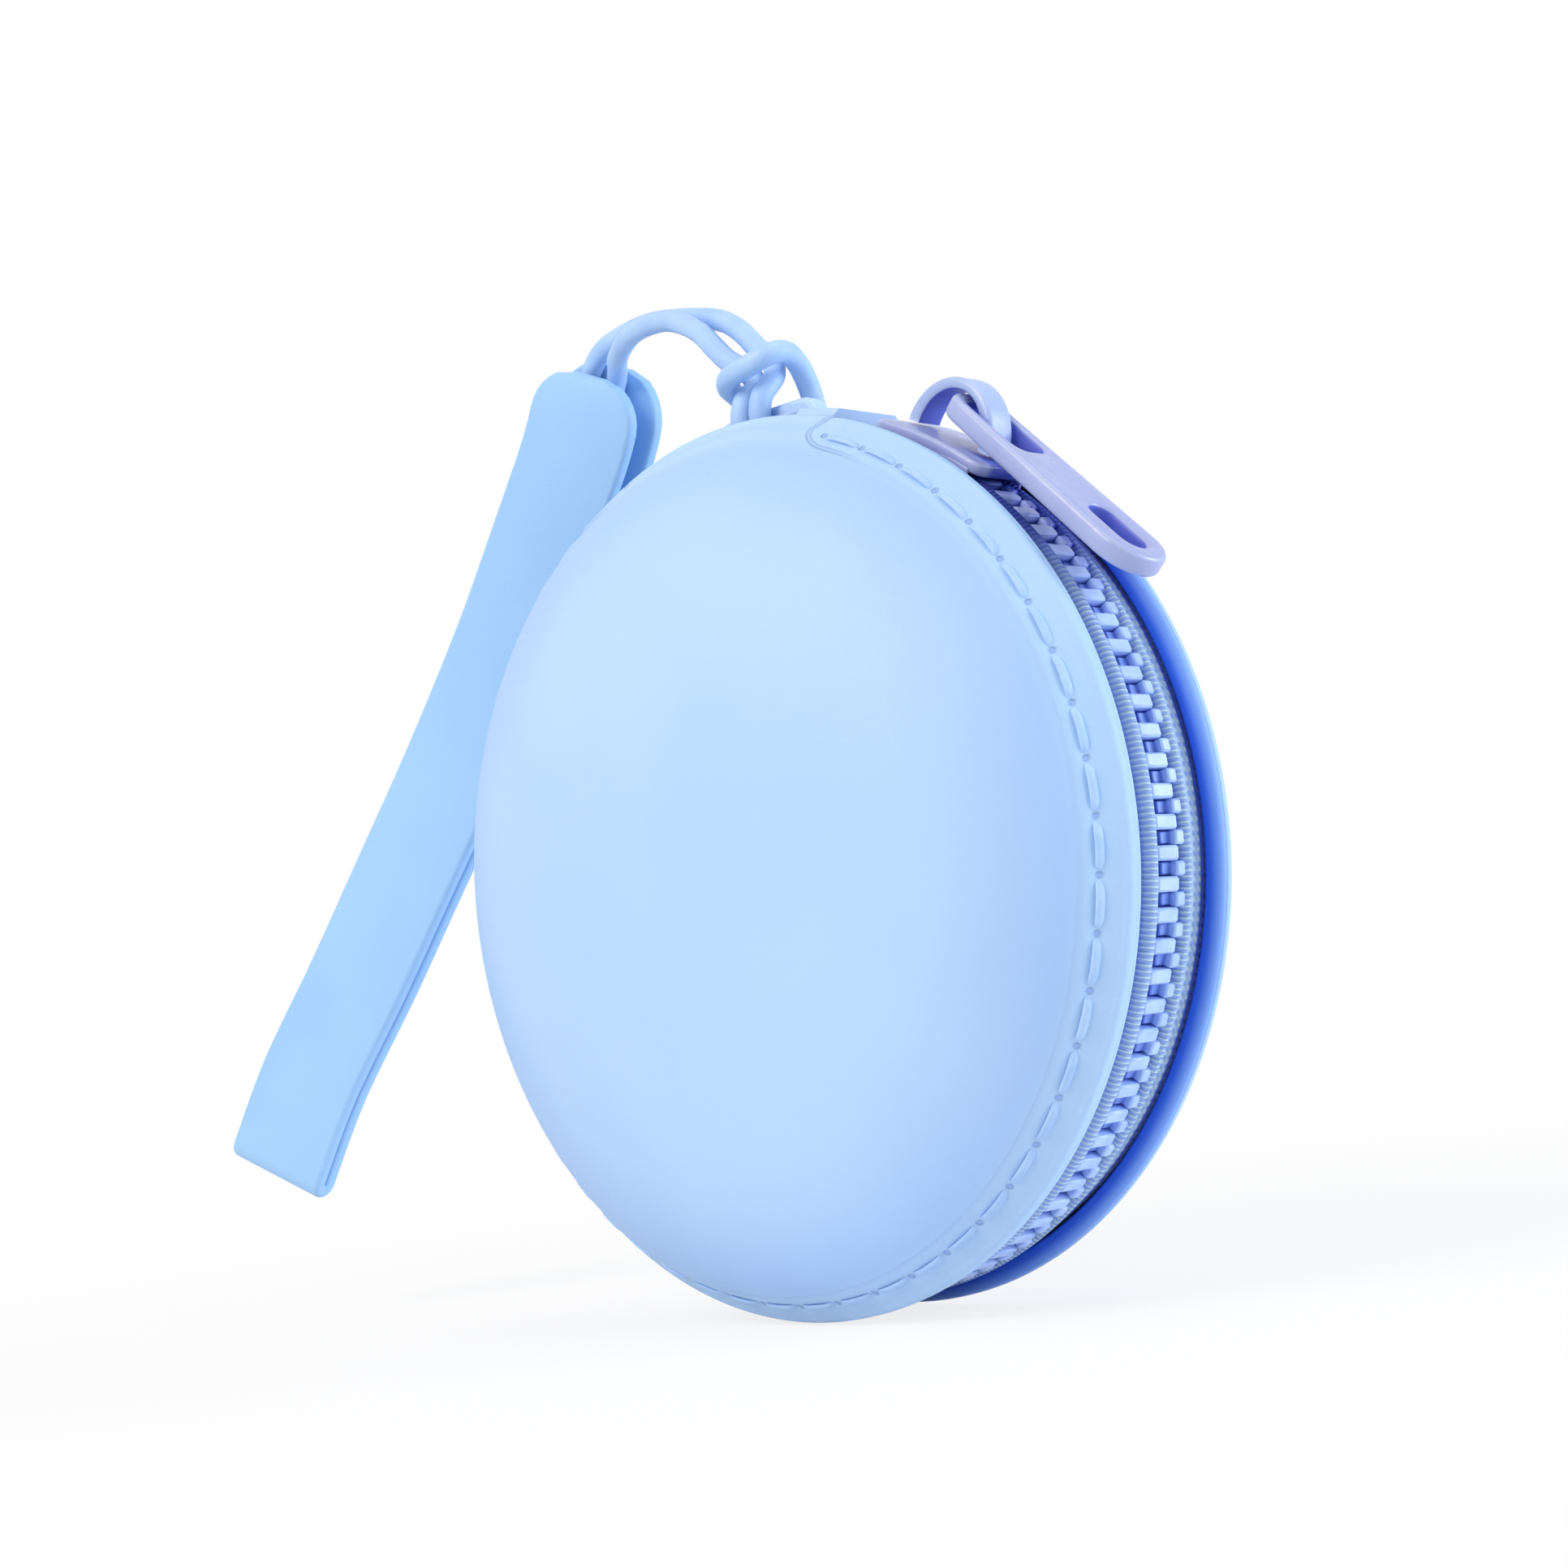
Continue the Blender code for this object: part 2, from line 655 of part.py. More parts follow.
def make_cord(parent, origin):
    route = [Vector(point) for point in cord_route]
    longest = 1.8 * cord_diameter
    counts = [2 if (route[i + 1] - route[i]).length > longest else 1 for i in range(len(route) - 1)]
    line = smooth_line(route, counts)
    curve = bpy.data.curves.new("strap_cord", "CURVE")
    curve.dimensions = "3D"
    curve.bevel_depth = cord_diameter / 2
    curve.bevel_resolution = 2
    curve.use_fill_caps = True
    spline = curve.splines.new("POLY")
    spline.points.add(len(line) - 1)
    for point, place_on_line in zip(spline.points, line):
        point.co = (*(place_on_line - origin), 1.0)
        point.radius = 1.0
    curve.materials.append(material("strap_cord", strap_blue, 0.6))
    made = bpy.data.objects.new("strap_cord", curve)
    bpy.context.collection.objects.link(made)
    made.parent = parent
    made.location = origin - Vector(parent["case_place"])
    return made


def strap_separation(distance):
    """Distance between the middles of the two layers, wide at the cord and narrow below."""
    at_cord = cord_diameter + 2 * fit_gap + strap_layer
    closed = strap_fold_gap + strap_layer
    t = min(1.0, max(0.0, (distance - 1.5 * strap_grip) / strap_open_length))
    return at_cord + (closed - at_cord) * (3 * t * t - 2 * t * t * t)


def strap_half_width(distance):
    """Half the width near a rounded end."""
    if distance >= strap_corner:
        return strap_width / 2
    rest = strap_corner - distance
    return strap_width / 2 - strap_corner + math.sqrt(max(0.0, strap_corner ** 2 - rest ** 2))


def make_strap(parent, top):
    """Ribbon of one thickness from the front layer's end, round the fold, to the back layer's end."""
    shares = [Vector(share) for share in strap_line_shares]
    line = [top + share * strap_length for share in shares]
    counts = [6] + [strap_steps // 5 + 1] * (len(line) - 2)
    middle = smooth_line(line, counts)
    distances = [0.0]
    for index in range(1, len(middle)):
        distances.append(distances[-1] + (middle[index] - middle[index - 1]).length)
    downs = []
    normals = []
    for index in range(len(middle)):
        step = (middle[min(index + 1, len(middle) - 1)] - middle[max(index - 1, 0)]).normalized()
        normal = strap_width_dir.cross(step).normalized()
        if normal.y > 0.0:
            normal = -normal
        downs.append(step)
        normals.append(normal)
    rows = []
    for index, centre in enumerate(middle):
        half = strap_half_width(distances[index])
        offset = normals[index] * strap_separation(distances[index]) / 2
        rows.append((centre + offset, normals[index], half))
    bottom = middle[-1]
    bend = strap_separation(distances[-1]) / 2
    for step in range(1, 8):
        turn = math.pi * step / 8
        aim = normals[-1] * math.cos(turn) + downs[-1] * math.sin(turn)
        rows.append((bottom + aim * bend, aim, strap_width / 2))
    for index in range(len(middle) - 1, -1, -1):
        half = strap_half_width(distances[index])
        offset = normals[index] * strap_separation(distances[index]) / 2
        rise = downs[index] * -back_layer_rise * max(0.0, 1.0 - distances[index] / strap_corner)
        rows.append((middle[index] - offset + rise, -normals[index], half))
    bm = bmesh.new()
    rings = []
    for centre, aim, half in rows:
        out = aim * strap_layer / 2
        side = strap_width_dir * half
        rings.append([bm.verts.new(centre + out - side), bm.verts.new(centre + out + side),
                      bm.verts.new(centre - out + side), bm.verts.new(centre - out - side)])
    for near, far in zip(rings, rings[1:]):
        for corner in range(4):
            following = (corner + 1) % 4
            bm.faces.new((near[corner], near[following], far[following], far[corner]))
    bm.faces.new(rings[0][::-1])
    bm.faces.new(rings[-1])
    made = place(bm, "wrist_strap", strap_blue, 0.55, origin=top, parent=parent)
    add_bevel(made, strap_edge, 1, 50.0)
    return made


# The part

case_centre = Vector((0.0, 0.0, 0.0))
front_hinge = hinge_empty("front_half_hinge", hinge_centre)
slider_axis = hinge_empty("slider_axis", case_centre)
puller_pivot = polar(pivot_radius, slider_deg, 0.0)
puller_axis = hinge_empty("puller_axis", puller_pivot, slider_axis)
cord_pivot = Vector((0.0, 0.0, (lug_hole_top_z + lug_top_z) / 2))
cord_axis = hinge_empty("cord_axis", cord_pivot)
cord_ends = (Vector(cord_route[0]) + Vector(cord_route[-1])) / 2
strap_up = Vector(strap_line_shares[0]) - Vector(strap_line_shares[1])
strap_top = cord_ends + strap_up.normalized() * strap_grip
strap_axis = hinge_empty("strap_axis", cord_ends, cord_axis)

make_shell("back_shell", 1, body_blue)
make_thread("stitching_back", 1)
make_web()
make_lug()
make_tab("zip_end_tab_start", 90.0 - tab_outer_deg)
make_tab("zip_end_tab_end", 90.0 + tab_inner_deg)
make_tape("zip_tape_back", 1)
make_teeth("teeth_back", 1, 0.0)
make_stop("top_stop_back", top_stop_start, bead_inner_y - fit_gap, bead_outer_y)
make_stop("bottom_stop", bottom_stop_start, -bead_outer_y, bead_outer_y)

make_shell("front_shell", -1, body_blue, front_hinge)
make_thread("stitching_front", -1, front_hinge)
make_tape("zip_tape_front", -1, front_hinge)
make_teeth("teeth_front", -1, 0.5, front_hinge)
make_stop("top_stop_front", top_stop_start, -bead_outer_y, fit_gap - bead_inner_y, front_hinge)

make_slider(slider_axis)
make_crown(slider_axis)
make_puller(puller_pivot, puller_axis)

make_cord(cord_axis, cord_pivot)
make_strap(strap_axis, strap_top)

bpy.context.view_layer.update()
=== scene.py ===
# %% [markdown]
# A round zipped coin holder with a wrist strap
#
# The object is two shallow silicone domes that meet at a zip, a slider with a flat puller, a loop of
# thin cord hitched to a small lug, and a silicone strap that hangs from the cord. The solids and the
# joints were made earlier. This lesson dresses them: it makes each visible piece again with finer
# edges, gives it a finish, and sets up light and camera.
#
# All lengths are in metres. The case is round about the Y axis, its front faces -Y, and an angle on
# the ring is counted from +X towards +Z: seen from the front, from the right side up to the top.

# %% Load the solids
import math

import bmesh
import bpy
from mathutils import Matrix, Vector


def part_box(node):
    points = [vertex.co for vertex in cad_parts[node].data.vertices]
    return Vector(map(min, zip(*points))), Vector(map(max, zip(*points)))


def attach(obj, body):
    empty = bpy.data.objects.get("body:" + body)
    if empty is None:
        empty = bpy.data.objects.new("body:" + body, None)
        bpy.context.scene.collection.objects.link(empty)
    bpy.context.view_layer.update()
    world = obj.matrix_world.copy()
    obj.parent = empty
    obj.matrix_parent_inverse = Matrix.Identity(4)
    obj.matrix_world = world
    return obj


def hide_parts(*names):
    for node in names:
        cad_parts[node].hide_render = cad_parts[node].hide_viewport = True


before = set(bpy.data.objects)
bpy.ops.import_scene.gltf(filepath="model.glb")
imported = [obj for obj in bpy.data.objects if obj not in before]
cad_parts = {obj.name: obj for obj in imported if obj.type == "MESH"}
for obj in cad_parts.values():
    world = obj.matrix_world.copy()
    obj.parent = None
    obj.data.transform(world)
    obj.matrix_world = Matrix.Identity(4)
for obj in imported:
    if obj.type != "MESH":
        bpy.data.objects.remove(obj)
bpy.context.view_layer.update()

# %% [markdown]
# The camera comes first, because every later choice of detail depends on what it sees. It stands
# 45 degrees to the right of the front, a little below the middle, and looks slightly up. A camera's
# place can be set by angles, but a turn in all three directions is clearer as three unit vectors:
# what is right, what is up, and what points back at the viewer. A small vertical shift keeps the
# object where the photograph has it without tilting the view.

# %% Camera
def add_object(name, data):
    made = bpy.data.objects.new(name, data)
    bpy.context.scene.collection.objects.link(made)
    return made


camera_place = Vector((0.17535, -0.18306, -0.05705))
camera_right = Vector((0.7028, 0.7034, -0.1065)).normalized()
camera_back = Vector((0.7014, -0.7101, -0.0618)).normalized()
camera_up = camera_back.cross(camera_right).normalized()
camera_right = camera_up.cross(camera_back)

camera_data = bpy.data.cameras.new("photo_camera")
camera_data.sensor_width = 36.0
camera_data.lens = 60.69
camera_data.shift_x = 0.0019
camera_data.shift_y = 0.0548
camera_data.clip_start = 0.01
camera_data.clip_end = 20.0
camera = add_object("photo_camera", camera_data)
camera.matrix_world = Matrix([(camera_right[axis], camera_up[axis], camera_back[axis], camera_place[axis])
                              for axis in range(3)] + [(0.0, 0.0, 0.0, 1.0)])
bpy.context.scene.camera = camera
print("camera stands", round(camera_place.length, 3), "m from the lug")

# %% [markdown]
# The ring of the case has its own centre, 41.6 mm below the lug that the whole part is measured
# from. Working in ring coordinates keeps the numbers simple, so two small helpers carry a point from
# the ring to the part: `polar` for a point at an angle, and `to_part` for the shift.

# %% Ring coordinates
ring_drop = 0.0416
to_part = Vector((0.0, 0.0, -ring_drop))


def polar(radius, degrees, y):
    turn = math.radians(degrees)
    return Vector((radius * math.cos(turn), y, radius * math.sin(turn)))


print("ring centre in the part:", tuple(to_part))

# %% [markdown]
# The cord is one 2.2 mm strand, doubled into a loop and pulled through itself round the lug, which
# is a girth hitch. A simulation could tie it, but a knot is easier to control as a path: the points
# below walk along the strand, and a Catmull-Rom curve rounds them into one smooth line. Bevelling
# the curve gives a tube whose length is exactly the length of the strand.

# %% Path of the cord
cord_width = 0.0022
cord_path = [
    (-0.03580, 0.00695, 0.05250), (-0.03280, 0.00690, 0.05770), (-0.02980, 0.00640, 0.05940),
    (-0.02620, 0.00600, 0.05990), (-0.02130, 0.00540, 0.05980), (-0.01520, 0.00430, 0.05850),
    (-0.00890, 0.00290, 0.05650), (-0.00500, 0.00180, 0.05430), (-0.00200, 0.00110, 0.05150),
    (0.00030, 0.00050, 0.04970), (0.00130, -0.00060, 0.04770), (0.00110, -0.00220, 0.04590),
    (0.00090, -0.00262, 0.04430), (0.00090, -0.00255, 0.04310), (0.00100, -0.00215, 0.04205),
    (0.00140, -0.00120, 0.04162), (0.00260, 0.00110, 0.04162), (0.00320, 0.00215, 0.04205),
    (0.00330, 0.00257, 0.04330), (0.00320, 0.00262, 0.04500), (0.00300, 0.00220, 0.04700),
    (0.00330, 0.00070, 0.04880), (0.00390, -0.00150, 0.04940), (0.00350, -0.00350, 0.04900),
    (0.00120, -0.00420, 0.04830), (-0.00150, -0.00370, 0.04810), (-0.00390, -0.00180, 0.04790),
    (-0.00500, 0.00060, 0.04740), (-0.00500, 0.00220, 0.04620), (-0.00450, 0.00262, 0.04460),
    (-0.00410, 0.00256, 0.04320), (-0.00390, 0.00215, 0.04205), (-0.00330, 0.00110, 0.04162),
    (-0.00210, -0.00120, 0.04162), (-0.00170, -0.00215, 0.04205), (-0.00160, -0.00255, 0.04310),
    (-0.00160, -0.00262, 0.04430), (-0.00140, -0.00215, 0.04590), (-0.00120, -0.00060, 0.04740),
    (-0.00270, -0.00010, 0.04930), (-0.00480, -0.00040, 0.05090), (-0.00660, -0.00020, 0.05260),
    (-0.01000, 0.00080, 0.05550), (-0.01520, 0.00190, 0.05800), (-0.02160, 0.00330, 0.05870),
    (-0.02630, 0.00500, 0.05760), (-0.02960, 0.00750, 0.05610), (-0.03260, 0.00770, 0.05090)]


def smooth_line(points, steps):
    line = []
    last = len(points) - 1
    for index in range(last):
        before = points[max(index - 1, 0)]
        first = points[index]
        second = points[index + 1]
        after = points[min(index + 2, last)]
        for step in range(steps):
            t = step / steps
            line.append(0.5 * (2 * first + (second - before) * t
                               + (2 * before - 5 * first + 4 * second - after) * t * t
                               + (3 * first - before - 3 * second + after) * t * t * t))
    return line + [points[last].copy()]


cord_line = smooth_line([Vector(point) + to_part for point in cord_path], 4)

# %% [markdown]
# A finish is a tree of nodes that ends in one shader. `Nodes` offers the steps that every tree here
# needs: object coordinates, arithmetic, noise, a soft threshold and a blend of two colours. `Finish`
# adds the shader and its bumps. Patterns that follow the ring, such as needle holes or the ribs of
# the tape, are computed from the angle and the radius, so they stay sharp at any size.

# %% Tools for finishes
class Nodes:
    def __init__(self, tree):
        self.tree = tree

    def node(self, kind, **settings):
        made = self.tree.nodes.new(kind)
        for key, value in settings.items():
            setattr(made, key, value)
        return made

    def plug(self, socket, value):
        if isinstance(value, bpy.types.NodeSocket):
            self.tree.links.new(value, socket)
        else:
            socket.default_value = value

    def coordinates(self, drop=ring_drop):
        """Object coordinates, counted from the centre of the ring unless told otherwise."""
        source = self.node("ShaderNodeTexCoord")
        mapping = self.node("ShaderNodeMapping")
        mapping.inputs["Location"].default_value = (0.0, 0.0, drop)
        self.plug(mapping.inputs["Vector"], source.outputs["Object"])
        return mapping.outputs["Vector"]

    def parts(self, vector):
        split = self.node("ShaderNodeSeparateXYZ")
        self.plug(split.inputs[0], vector)
        return split.outputs

    def math(self, operation, first, second=0.0):
        step = self.node("ShaderNodeMath", operation=operation)
        self.plug(step.inputs[0], first)
        self.plug(step.inputs[1], second)
        return step.outputs[0]

    def times(self, first, second):
        return self.math("MULTIPLY", first, second)

    def far(self, first, second):
        """Distance from zero of a point with these two coordinates."""
        squares = [self.math("POWER", value, 2.0) for value in (first, second)]
        return self.math("SQRT", self.math("ADD", *squares))

    def on_ring(self, where):
        """Depth along Y, angle on the ring and distance from the ring's axis."""
        x, y, z = self.parts(where)
        return y, self.math("ARCTAN2", z, x), self.far(x, z)

    def noise(self, vector, scale, detail=3.0, roughness=0.5):
        made = self.node("ShaderNodeTexNoise")
        made.inputs["Scale"].default_value = scale
        made.inputs["Detail"].default_value = detail
        made.inputs["Roughness"].default_value = roughness
        self.plug(made.inputs["Vector"], vector)
        return made.outputs[0]

    def soft_step(self, value, low, high, to_low=0.0, to_high=1.0):
        made = self.node("ShaderNodeMapRange", interpolation_type="SMOOTHSTEP")
        for name, number in zip(("Value", "From Min", "From Max", "To Min", "To Max"),
                                (value, low, high, to_low, to_high)):
            self.plug(made.inputs[name], number)
        return made.outputs[0]

    def soft_drop(self, value, low, high):
        return self.soft_step(value, low, high, 1.0, 0.0)

    def blend(self, share, first, second):
        made = self.node("ShaderNodeMix", data_type="RGBA")
        self.plug(made.inputs[0], share)
        self.plug(made.inputs[6], first if isinstance(first, bpy.types.NodeSocket) else (*first, 1.0))
        self.plug(made.inputs[7], second if isinstance(second, bpy.types.NodeSocket) else (*second, 1.0))
        return made.outputs[2]


class Finish(Nodes):
    def __init__(self, name, roughness):
        self.material = bpy.data.materials.new(name)
        self.material.use_nodes = True
        super().__init__(self.material.node_tree)
        self.shader = self.tree.nodes["Principled BSDF"]
        self.fixed("Roughness", roughness)
        self.last_bump = None

    def fixed(self, socket_name, value):
        self.shader.inputs[socket_name].default_value = value

    def bump(self, height, distance):
        made = self.node("ShaderNodeBump")
        made.inputs["Strength"].default_value = 1.0
        made.inputs["Distance"].default_value = distance
        self.plug(made.inputs["Height"], height)
        if self.last_bump is not None:
            self.plug(made.inputs["Normal"], self.last_bump)
        self.last_bump = made.outputs["Normal"]
        self.plug(self.shader.inputs["Normal"], self.last_bump)

    def colour(self, value):
        self.plug(self.shader.inputs["Base Color"], value)

    def rough(self, value):
        self.plug(self.shader.inputs["Roughness"], value)


silicone_light = (0.448, 0.668, 0.945)
silicone_blue = (0.412, 0.632, 0.930)
# Painted shade colours: in the seam's crease, on the dome's outer flank, under the slider, low in the chain,
# in gaps, in the needle holes and just past the rear rim.
crease_shade_blue = (0.250, 0.430, 0.850)
flank_shade_blue = (0.335, 0.540, 0.915)
shadow_blue = (0.022, 0.055, 0.480)
recess_shade_blue = (0.110, 0.220, 0.780)
gap_shade_blue = (0.030, 0.130, 0.760)
needle_hole_shade_blue = (0.170, 0.310, 0.760)
behind_rim_shade_blue = (0.110, 0.280, 0.880)
print("finish tools ready")

# %% [markdown]
# Silicone for the cord and the strap. Real silicone is even in colour, with a powdery surface that
# scatters light, a few faint clouds where it has been handled, and very fine grain. Two noises give
# that: a wide one that moves the colour a little, and a fine one for the bump and the roughness.

# %% Finish: plain silicone
def silicone(name, light, dark, cloud_scale=60.0, grain_scale=2600.0, roughness=0.55):
    finish = Finish(name, roughness)
    where = finish.coordinates(0.0)
    cloud = finish.noise(where, cloud_scale, 2.0)
    grain = finish.noise(where, grain_scale, 3.0, 0.6)
    finish.colour(finish.blend(finish.soft_step(cloud, 0.30, 0.72), light, dark))
    finish.rough(finish.soft_step(grain, 0.25, 0.75, roughness - 0.05, roughness + 0.08))
    finish.bump(grain, 0.00003)
    finish.fixed("Specular IOR Level", 0.35)
    return finish.material


strap_finish = silicone("strap_silicone", (0.355, 0.615, 0.940), (0.330, 0.585, 0.925))
cord_finish = silicone("cord_silicone", (0.430, 0.640, 0.945), (0.370, 0.580, 0.915), 300.0, 3400.0, 0.45)
web_finish = silicone("web_silicone", (0.520, 0.720, 0.960), (0.450, 0.650, 0.945))
print("silicone finishes:", strap_finish.name, cord_finish.name, web_finish.name)

# %% [markdown]
# The cord is an open curve, so its ends stay separate and its length can be checked. It starts
# between the strap's two layers, goes over to the lug, round it, and back to the strap, where the
# layers hold both ends.

# %% Cord
cord_curve = bpy.data.curves.new("cord_strand", "CURVE")
cord_curve.dimensions = "3D"
cord_curve.bevel_depth = cord_width / 2
cord_curve.bevel_resolution = 5
cord_curve.use_fill_caps = True
cord_spline = cord_curve.splines.new("POLY")
cord_spline.points.add(len(cord_line) - 1)
for spline_point, place in zip(cord_spline.points, cord_line):
    spline_point.co = (*place, 1.0)
cord_spline.use_smooth = True
cord_curve.materials.append(cord_finish)
cord = add_object("cord_strand", cord_curve)
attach(cord, "cord")
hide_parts("strap_cord")
print("cord from", [round(v, 4) for v in cord_line[0]], "to", [round(v, 4) for v in cord_line[-1]])

# %% [markdown]
# Light and floor. The object is pale, so the light has to be soft and even: a large warm area lamp
# from the front left, a cool one of the same strength from the right that reaches the zip, a weak one
# from above for the cord and the crown, and a dim blue world for the rest.
# The background is white only for rays that come straight from the camera, or by way of a mirror or
# glass, so that it doesn't pour more light on the object. The floor does the same, a little less near
# the object, and so it keeps the shadow.

# %% Light, world and floor
middle = Vector((-0.012, 0.0, -0.042))
lamp_size = 0.50
floor_near = 0.05
floor_far = 0.30
white_near = 0.80


def as_mesh(bm, name):
    mesh = bpy.data.meshes.new(name)
    bm.to_mesh(mesh)
    bm.free()
    return mesh


def area_lamp(name, right, up, back, power, tint):
    lamp = bpy.data.lights.new(name, "AREA")
    lamp.shape = "DISK"
    lamp.size = lamp_size
    lamp.energy = power
    lamp.color = tint
    made = add_object(name, lamp)
    made.location = middle + camera_right * right + camera_up * up + camera_back * back
    made.rotation_euler = (made.location - middle).to_track_quat("Z", "Y").to_euler()


def show_white(nodes, lit, card_kind, output, fade=1.0):
    """Camera, mirror and glass rays see a plain white card, and all others see the lit shader."""
    rays = nodes.node("ShaderNodeLightPath").outputs
    share = rays["Is Camera Ray"]
    for kind in ("Is Glossy Ray", "Is Transmission Ray"):
        share = nodes.math("MAXIMUM", share, rays[kind])
    card = nodes.node(card_kind)
    card.inputs["Color"].default_value = (1.0, 1.0, 1.0, 1.0)
    card.inputs["Strength"].default_value = 1.0
    choose = nodes.node("ShaderNodeMixShader")
    for socket, source in zip(choose.inputs, (nodes.times(share, fade), lit.outputs[0], card.outputs[0])):
        nodes.plug(socket, source)
    nodes.plug(nodes.tree.nodes[output].inputs["Surface"], choose.outputs[0])


area_lamp("front_softbox", -0.55, 0.42, 0.40, 4.6, (1.0, 0.88, 0.80))
area_lamp("right_softbox", 0.72, 0.20, 0.12, 4.6, (0.84, 0.88, 1.0))
area_lamp("top_softbox", 0.05, 0.75, 0.10, 1.3, (1.0, 0.96, 0.92))

world = bpy.data.worlds.new("pale_room")
bpy.context.scene.world = world
world.use_nodes = True
room_light = world.node_tree.nodes["Background"]
room_light.inputs["Color"].default_value = (0.74, 0.86, 1.0, 1.0)
room_light.inputs["Strength"].default_value = 0.34
show_white(Nodes(world.node_tree), room_light, "ShaderNodeBackground", "World Output")

ground = Finish("pale_floor", 0.9)
ground.colour((0.93, 0.93, 0.93, 1.0))
away = ground.node("ShaderNodeVectorMath", operation="LENGTH")
ground.plug(away.inputs[0], ground.coordinates(0.0))
floor_fade = ground.soft_step(away.outputs["Value"], floor_near, floor_far, white_near, 1.0)
show_white(ground, ground.shader, "ShaderNodeEmission", "Material Output", floor_fade)

floor_bm = bmesh.new()
bmesh.ops.create_grid(floor_bm, x_segments=1, y_segments=1, size=4.0)
floor_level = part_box("back_shell")[0].z - 0.0002
bmesh.ops.translate(floor_bm, verts=floor_bm.verts, vec=(0.0, 0.0, floor_level))
floor = add_object("floor", as_mesh(floor_bm, "floor"))
floor.data.materials.append(ground.material)
bpy.context.scene.view_settings.view_transform = "Standard"
print("floor at", round(floor_level * 1000, 2), "mm")

# %% [markdown]
# Every new piece ends the same way: doubles are merged, faces are turned outwards, the mesh moves
# from the ring's coordinates to the part's, the object is told which body it rides on, and the
# solid it stands for is hidden. One helper does this, so each piece's own cell only has to model.
# The case has two halves that all but mirror each other, so most pieces are made twice, with side 1
# for the back half and side -1 for the front half.

# %% Hand a piece over
def add_part(bm, part):
    """Add what was made apart, so that the operators on it touched nothing else."""
    mesh = as_mesh(part, "part")
    bm.from_mesh(mesh)
    bpy.data.meshes.remove(mesh)


def hand_over(bm, name, body, finish, node, smooth_deg):
    bmesh.ops.remove_doubles(bm, verts=bm.verts, dist=0.000002)
    bmesh.ops.recalc_face_normals(bm, faces=bm.faces)
    bmesh.ops.translate(bm, verts=bm.verts, vec=to_part)
    mesh = as_mesh(bm, name)
    mesh.shade_smooth()
    mesh.set_sharp_from_angle(angle=math.radians(smooth_deg))
    mesh.materials.append(finish)
    made = add_object(name, mesh)
    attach(made, body)
    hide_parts(node)
    print(name, len(mesh.vertices), "points", len(mesh.polygons), "faces")
    return made


def both_halves(make, suffix, finish, node, smooth_deg):
    """Make a piece for each half and hand it over. In the node's name, {} stands for the half."""
    for side, half in ((1, "back"), (-1, "front")):
        hand_over(make(side), half + suffix, half + "_half", finish, node.format(half), smooth_deg)


# %% [markdown]
# The shells are moulded silicone over a stiff insert. Each is a shape of revolution: an elliptical
# dome, a shallow channel for the seam, a raised lip at the rim, and an even wall inside. Drawing the
# half section once and spinning it gives all of that with perfect roundness. The channel isn't
# there at the hinge, so after the spin its points are lifted back to the dome in that sector, with
# a soft change at each end.

# %% Section of a shell
case_radius = 0.0425
rim_y = 0.0055
dome_depth = 0.0152
dome_radius = 0.0421
wall = 0.0018
inner_radius = case_radius - wall
inner_depth = dome_depth - wall
seam_offset = 0.0036
channel_half = 0.00095
channel_depth = 0.0003
seam_end_deg = 68.6
lip = [(0.04172, 0.00236), (0.04188, 0.00214), (0.04210, 0.00198), (0.04230, 0.00184),
       (0.04242, 0.00166), (0.04249, 0.00144), (case_radius, 0.00115), (case_radius, 0.00075),
       (0.04246, 0.00042), (0.04236, 0.00020), (0.04220, 0.00005), (0.04200, 0.0)]


def dome_at(offset, radius=dome_radius, depth=dome_depth):
    return radius * math.sqrt(max(0.0, 1.0 - (offset / depth) ** 2))


def shell_section():
    points = []
    channel_far = seam_offset + channel_half
    start = math.asin(channel_far / dome_depth)
    for step in range(34):
        turn = math.pi / 2 + (start - math.pi / 2) * step / 34
        points.append((dome_radius * math.cos(turn), dome_depth * math.sin(turn)))
    points[0] = (0.0, dome_depth)
    for step in range(11):
        share = step / 10
        offset = channel_far - 2 * channel_half * share
        dip = channel_depth * math.sin(math.pi * share) ** 1.3
        points.append((dome_at(offset) - dip, offset))
    points += lip + [(inner_radius + 0.0003, 0.0), (inner_radius, 0.0002)]
    for step in range(1, 24):
        turn = math.pi / 2 * step / 24
        points.append((inner_radius * math.cos(turn), inner_depth * math.sin(turn)))
    points.append((0.0, inner_depth))
    return points


print("points in the section:", len(shell_section()))

# %% Spin a shell
shell_steps = 288
lift_soft = 0.0012


def spin_round(bm, geom, degrees, steps, toward=-1.0, close=False):
    bmesh.ops.spin(bm, geom=geom, cent=(0.0, 0.0, 0.0), axis=(0.0, toward, 0.0),
                   angle=math.radians(degrees), steps=steps, use_merge=close)


def lift_channel(bm, side):
    """Fill the seam channel in the sector of the hinge."""
    channel_start = seam_offset - channel_half
    channel_end = seam_offset + channel_half
    for vert in bm.verts:
        offset = side * vert.co.y - rim_y
        radius = math.hypot(vert.co.x, vert.co.z)
        if not channel_start <= offset <= channel_end or radius < case_radius - wall * 1.6:
            continue
        if radius < dome_at(offset) - channel_depth * 1.1:
            continue
        degrees = math.degrees(math.atan2(vert.co.z, abs(vert.co.x)))
        beyond = (degrees - seam_end_deg) * math.radians(1.0) * radius
        share = min(1.0, max(0.0, 0.5 + beyond / lift_soft))
        share = share * share * (3 - 2 * share)
        target = radius + (dome_at(offset) - radius) * share
        vert.co.x *= target / radius
        vert.co.z *= target / radius


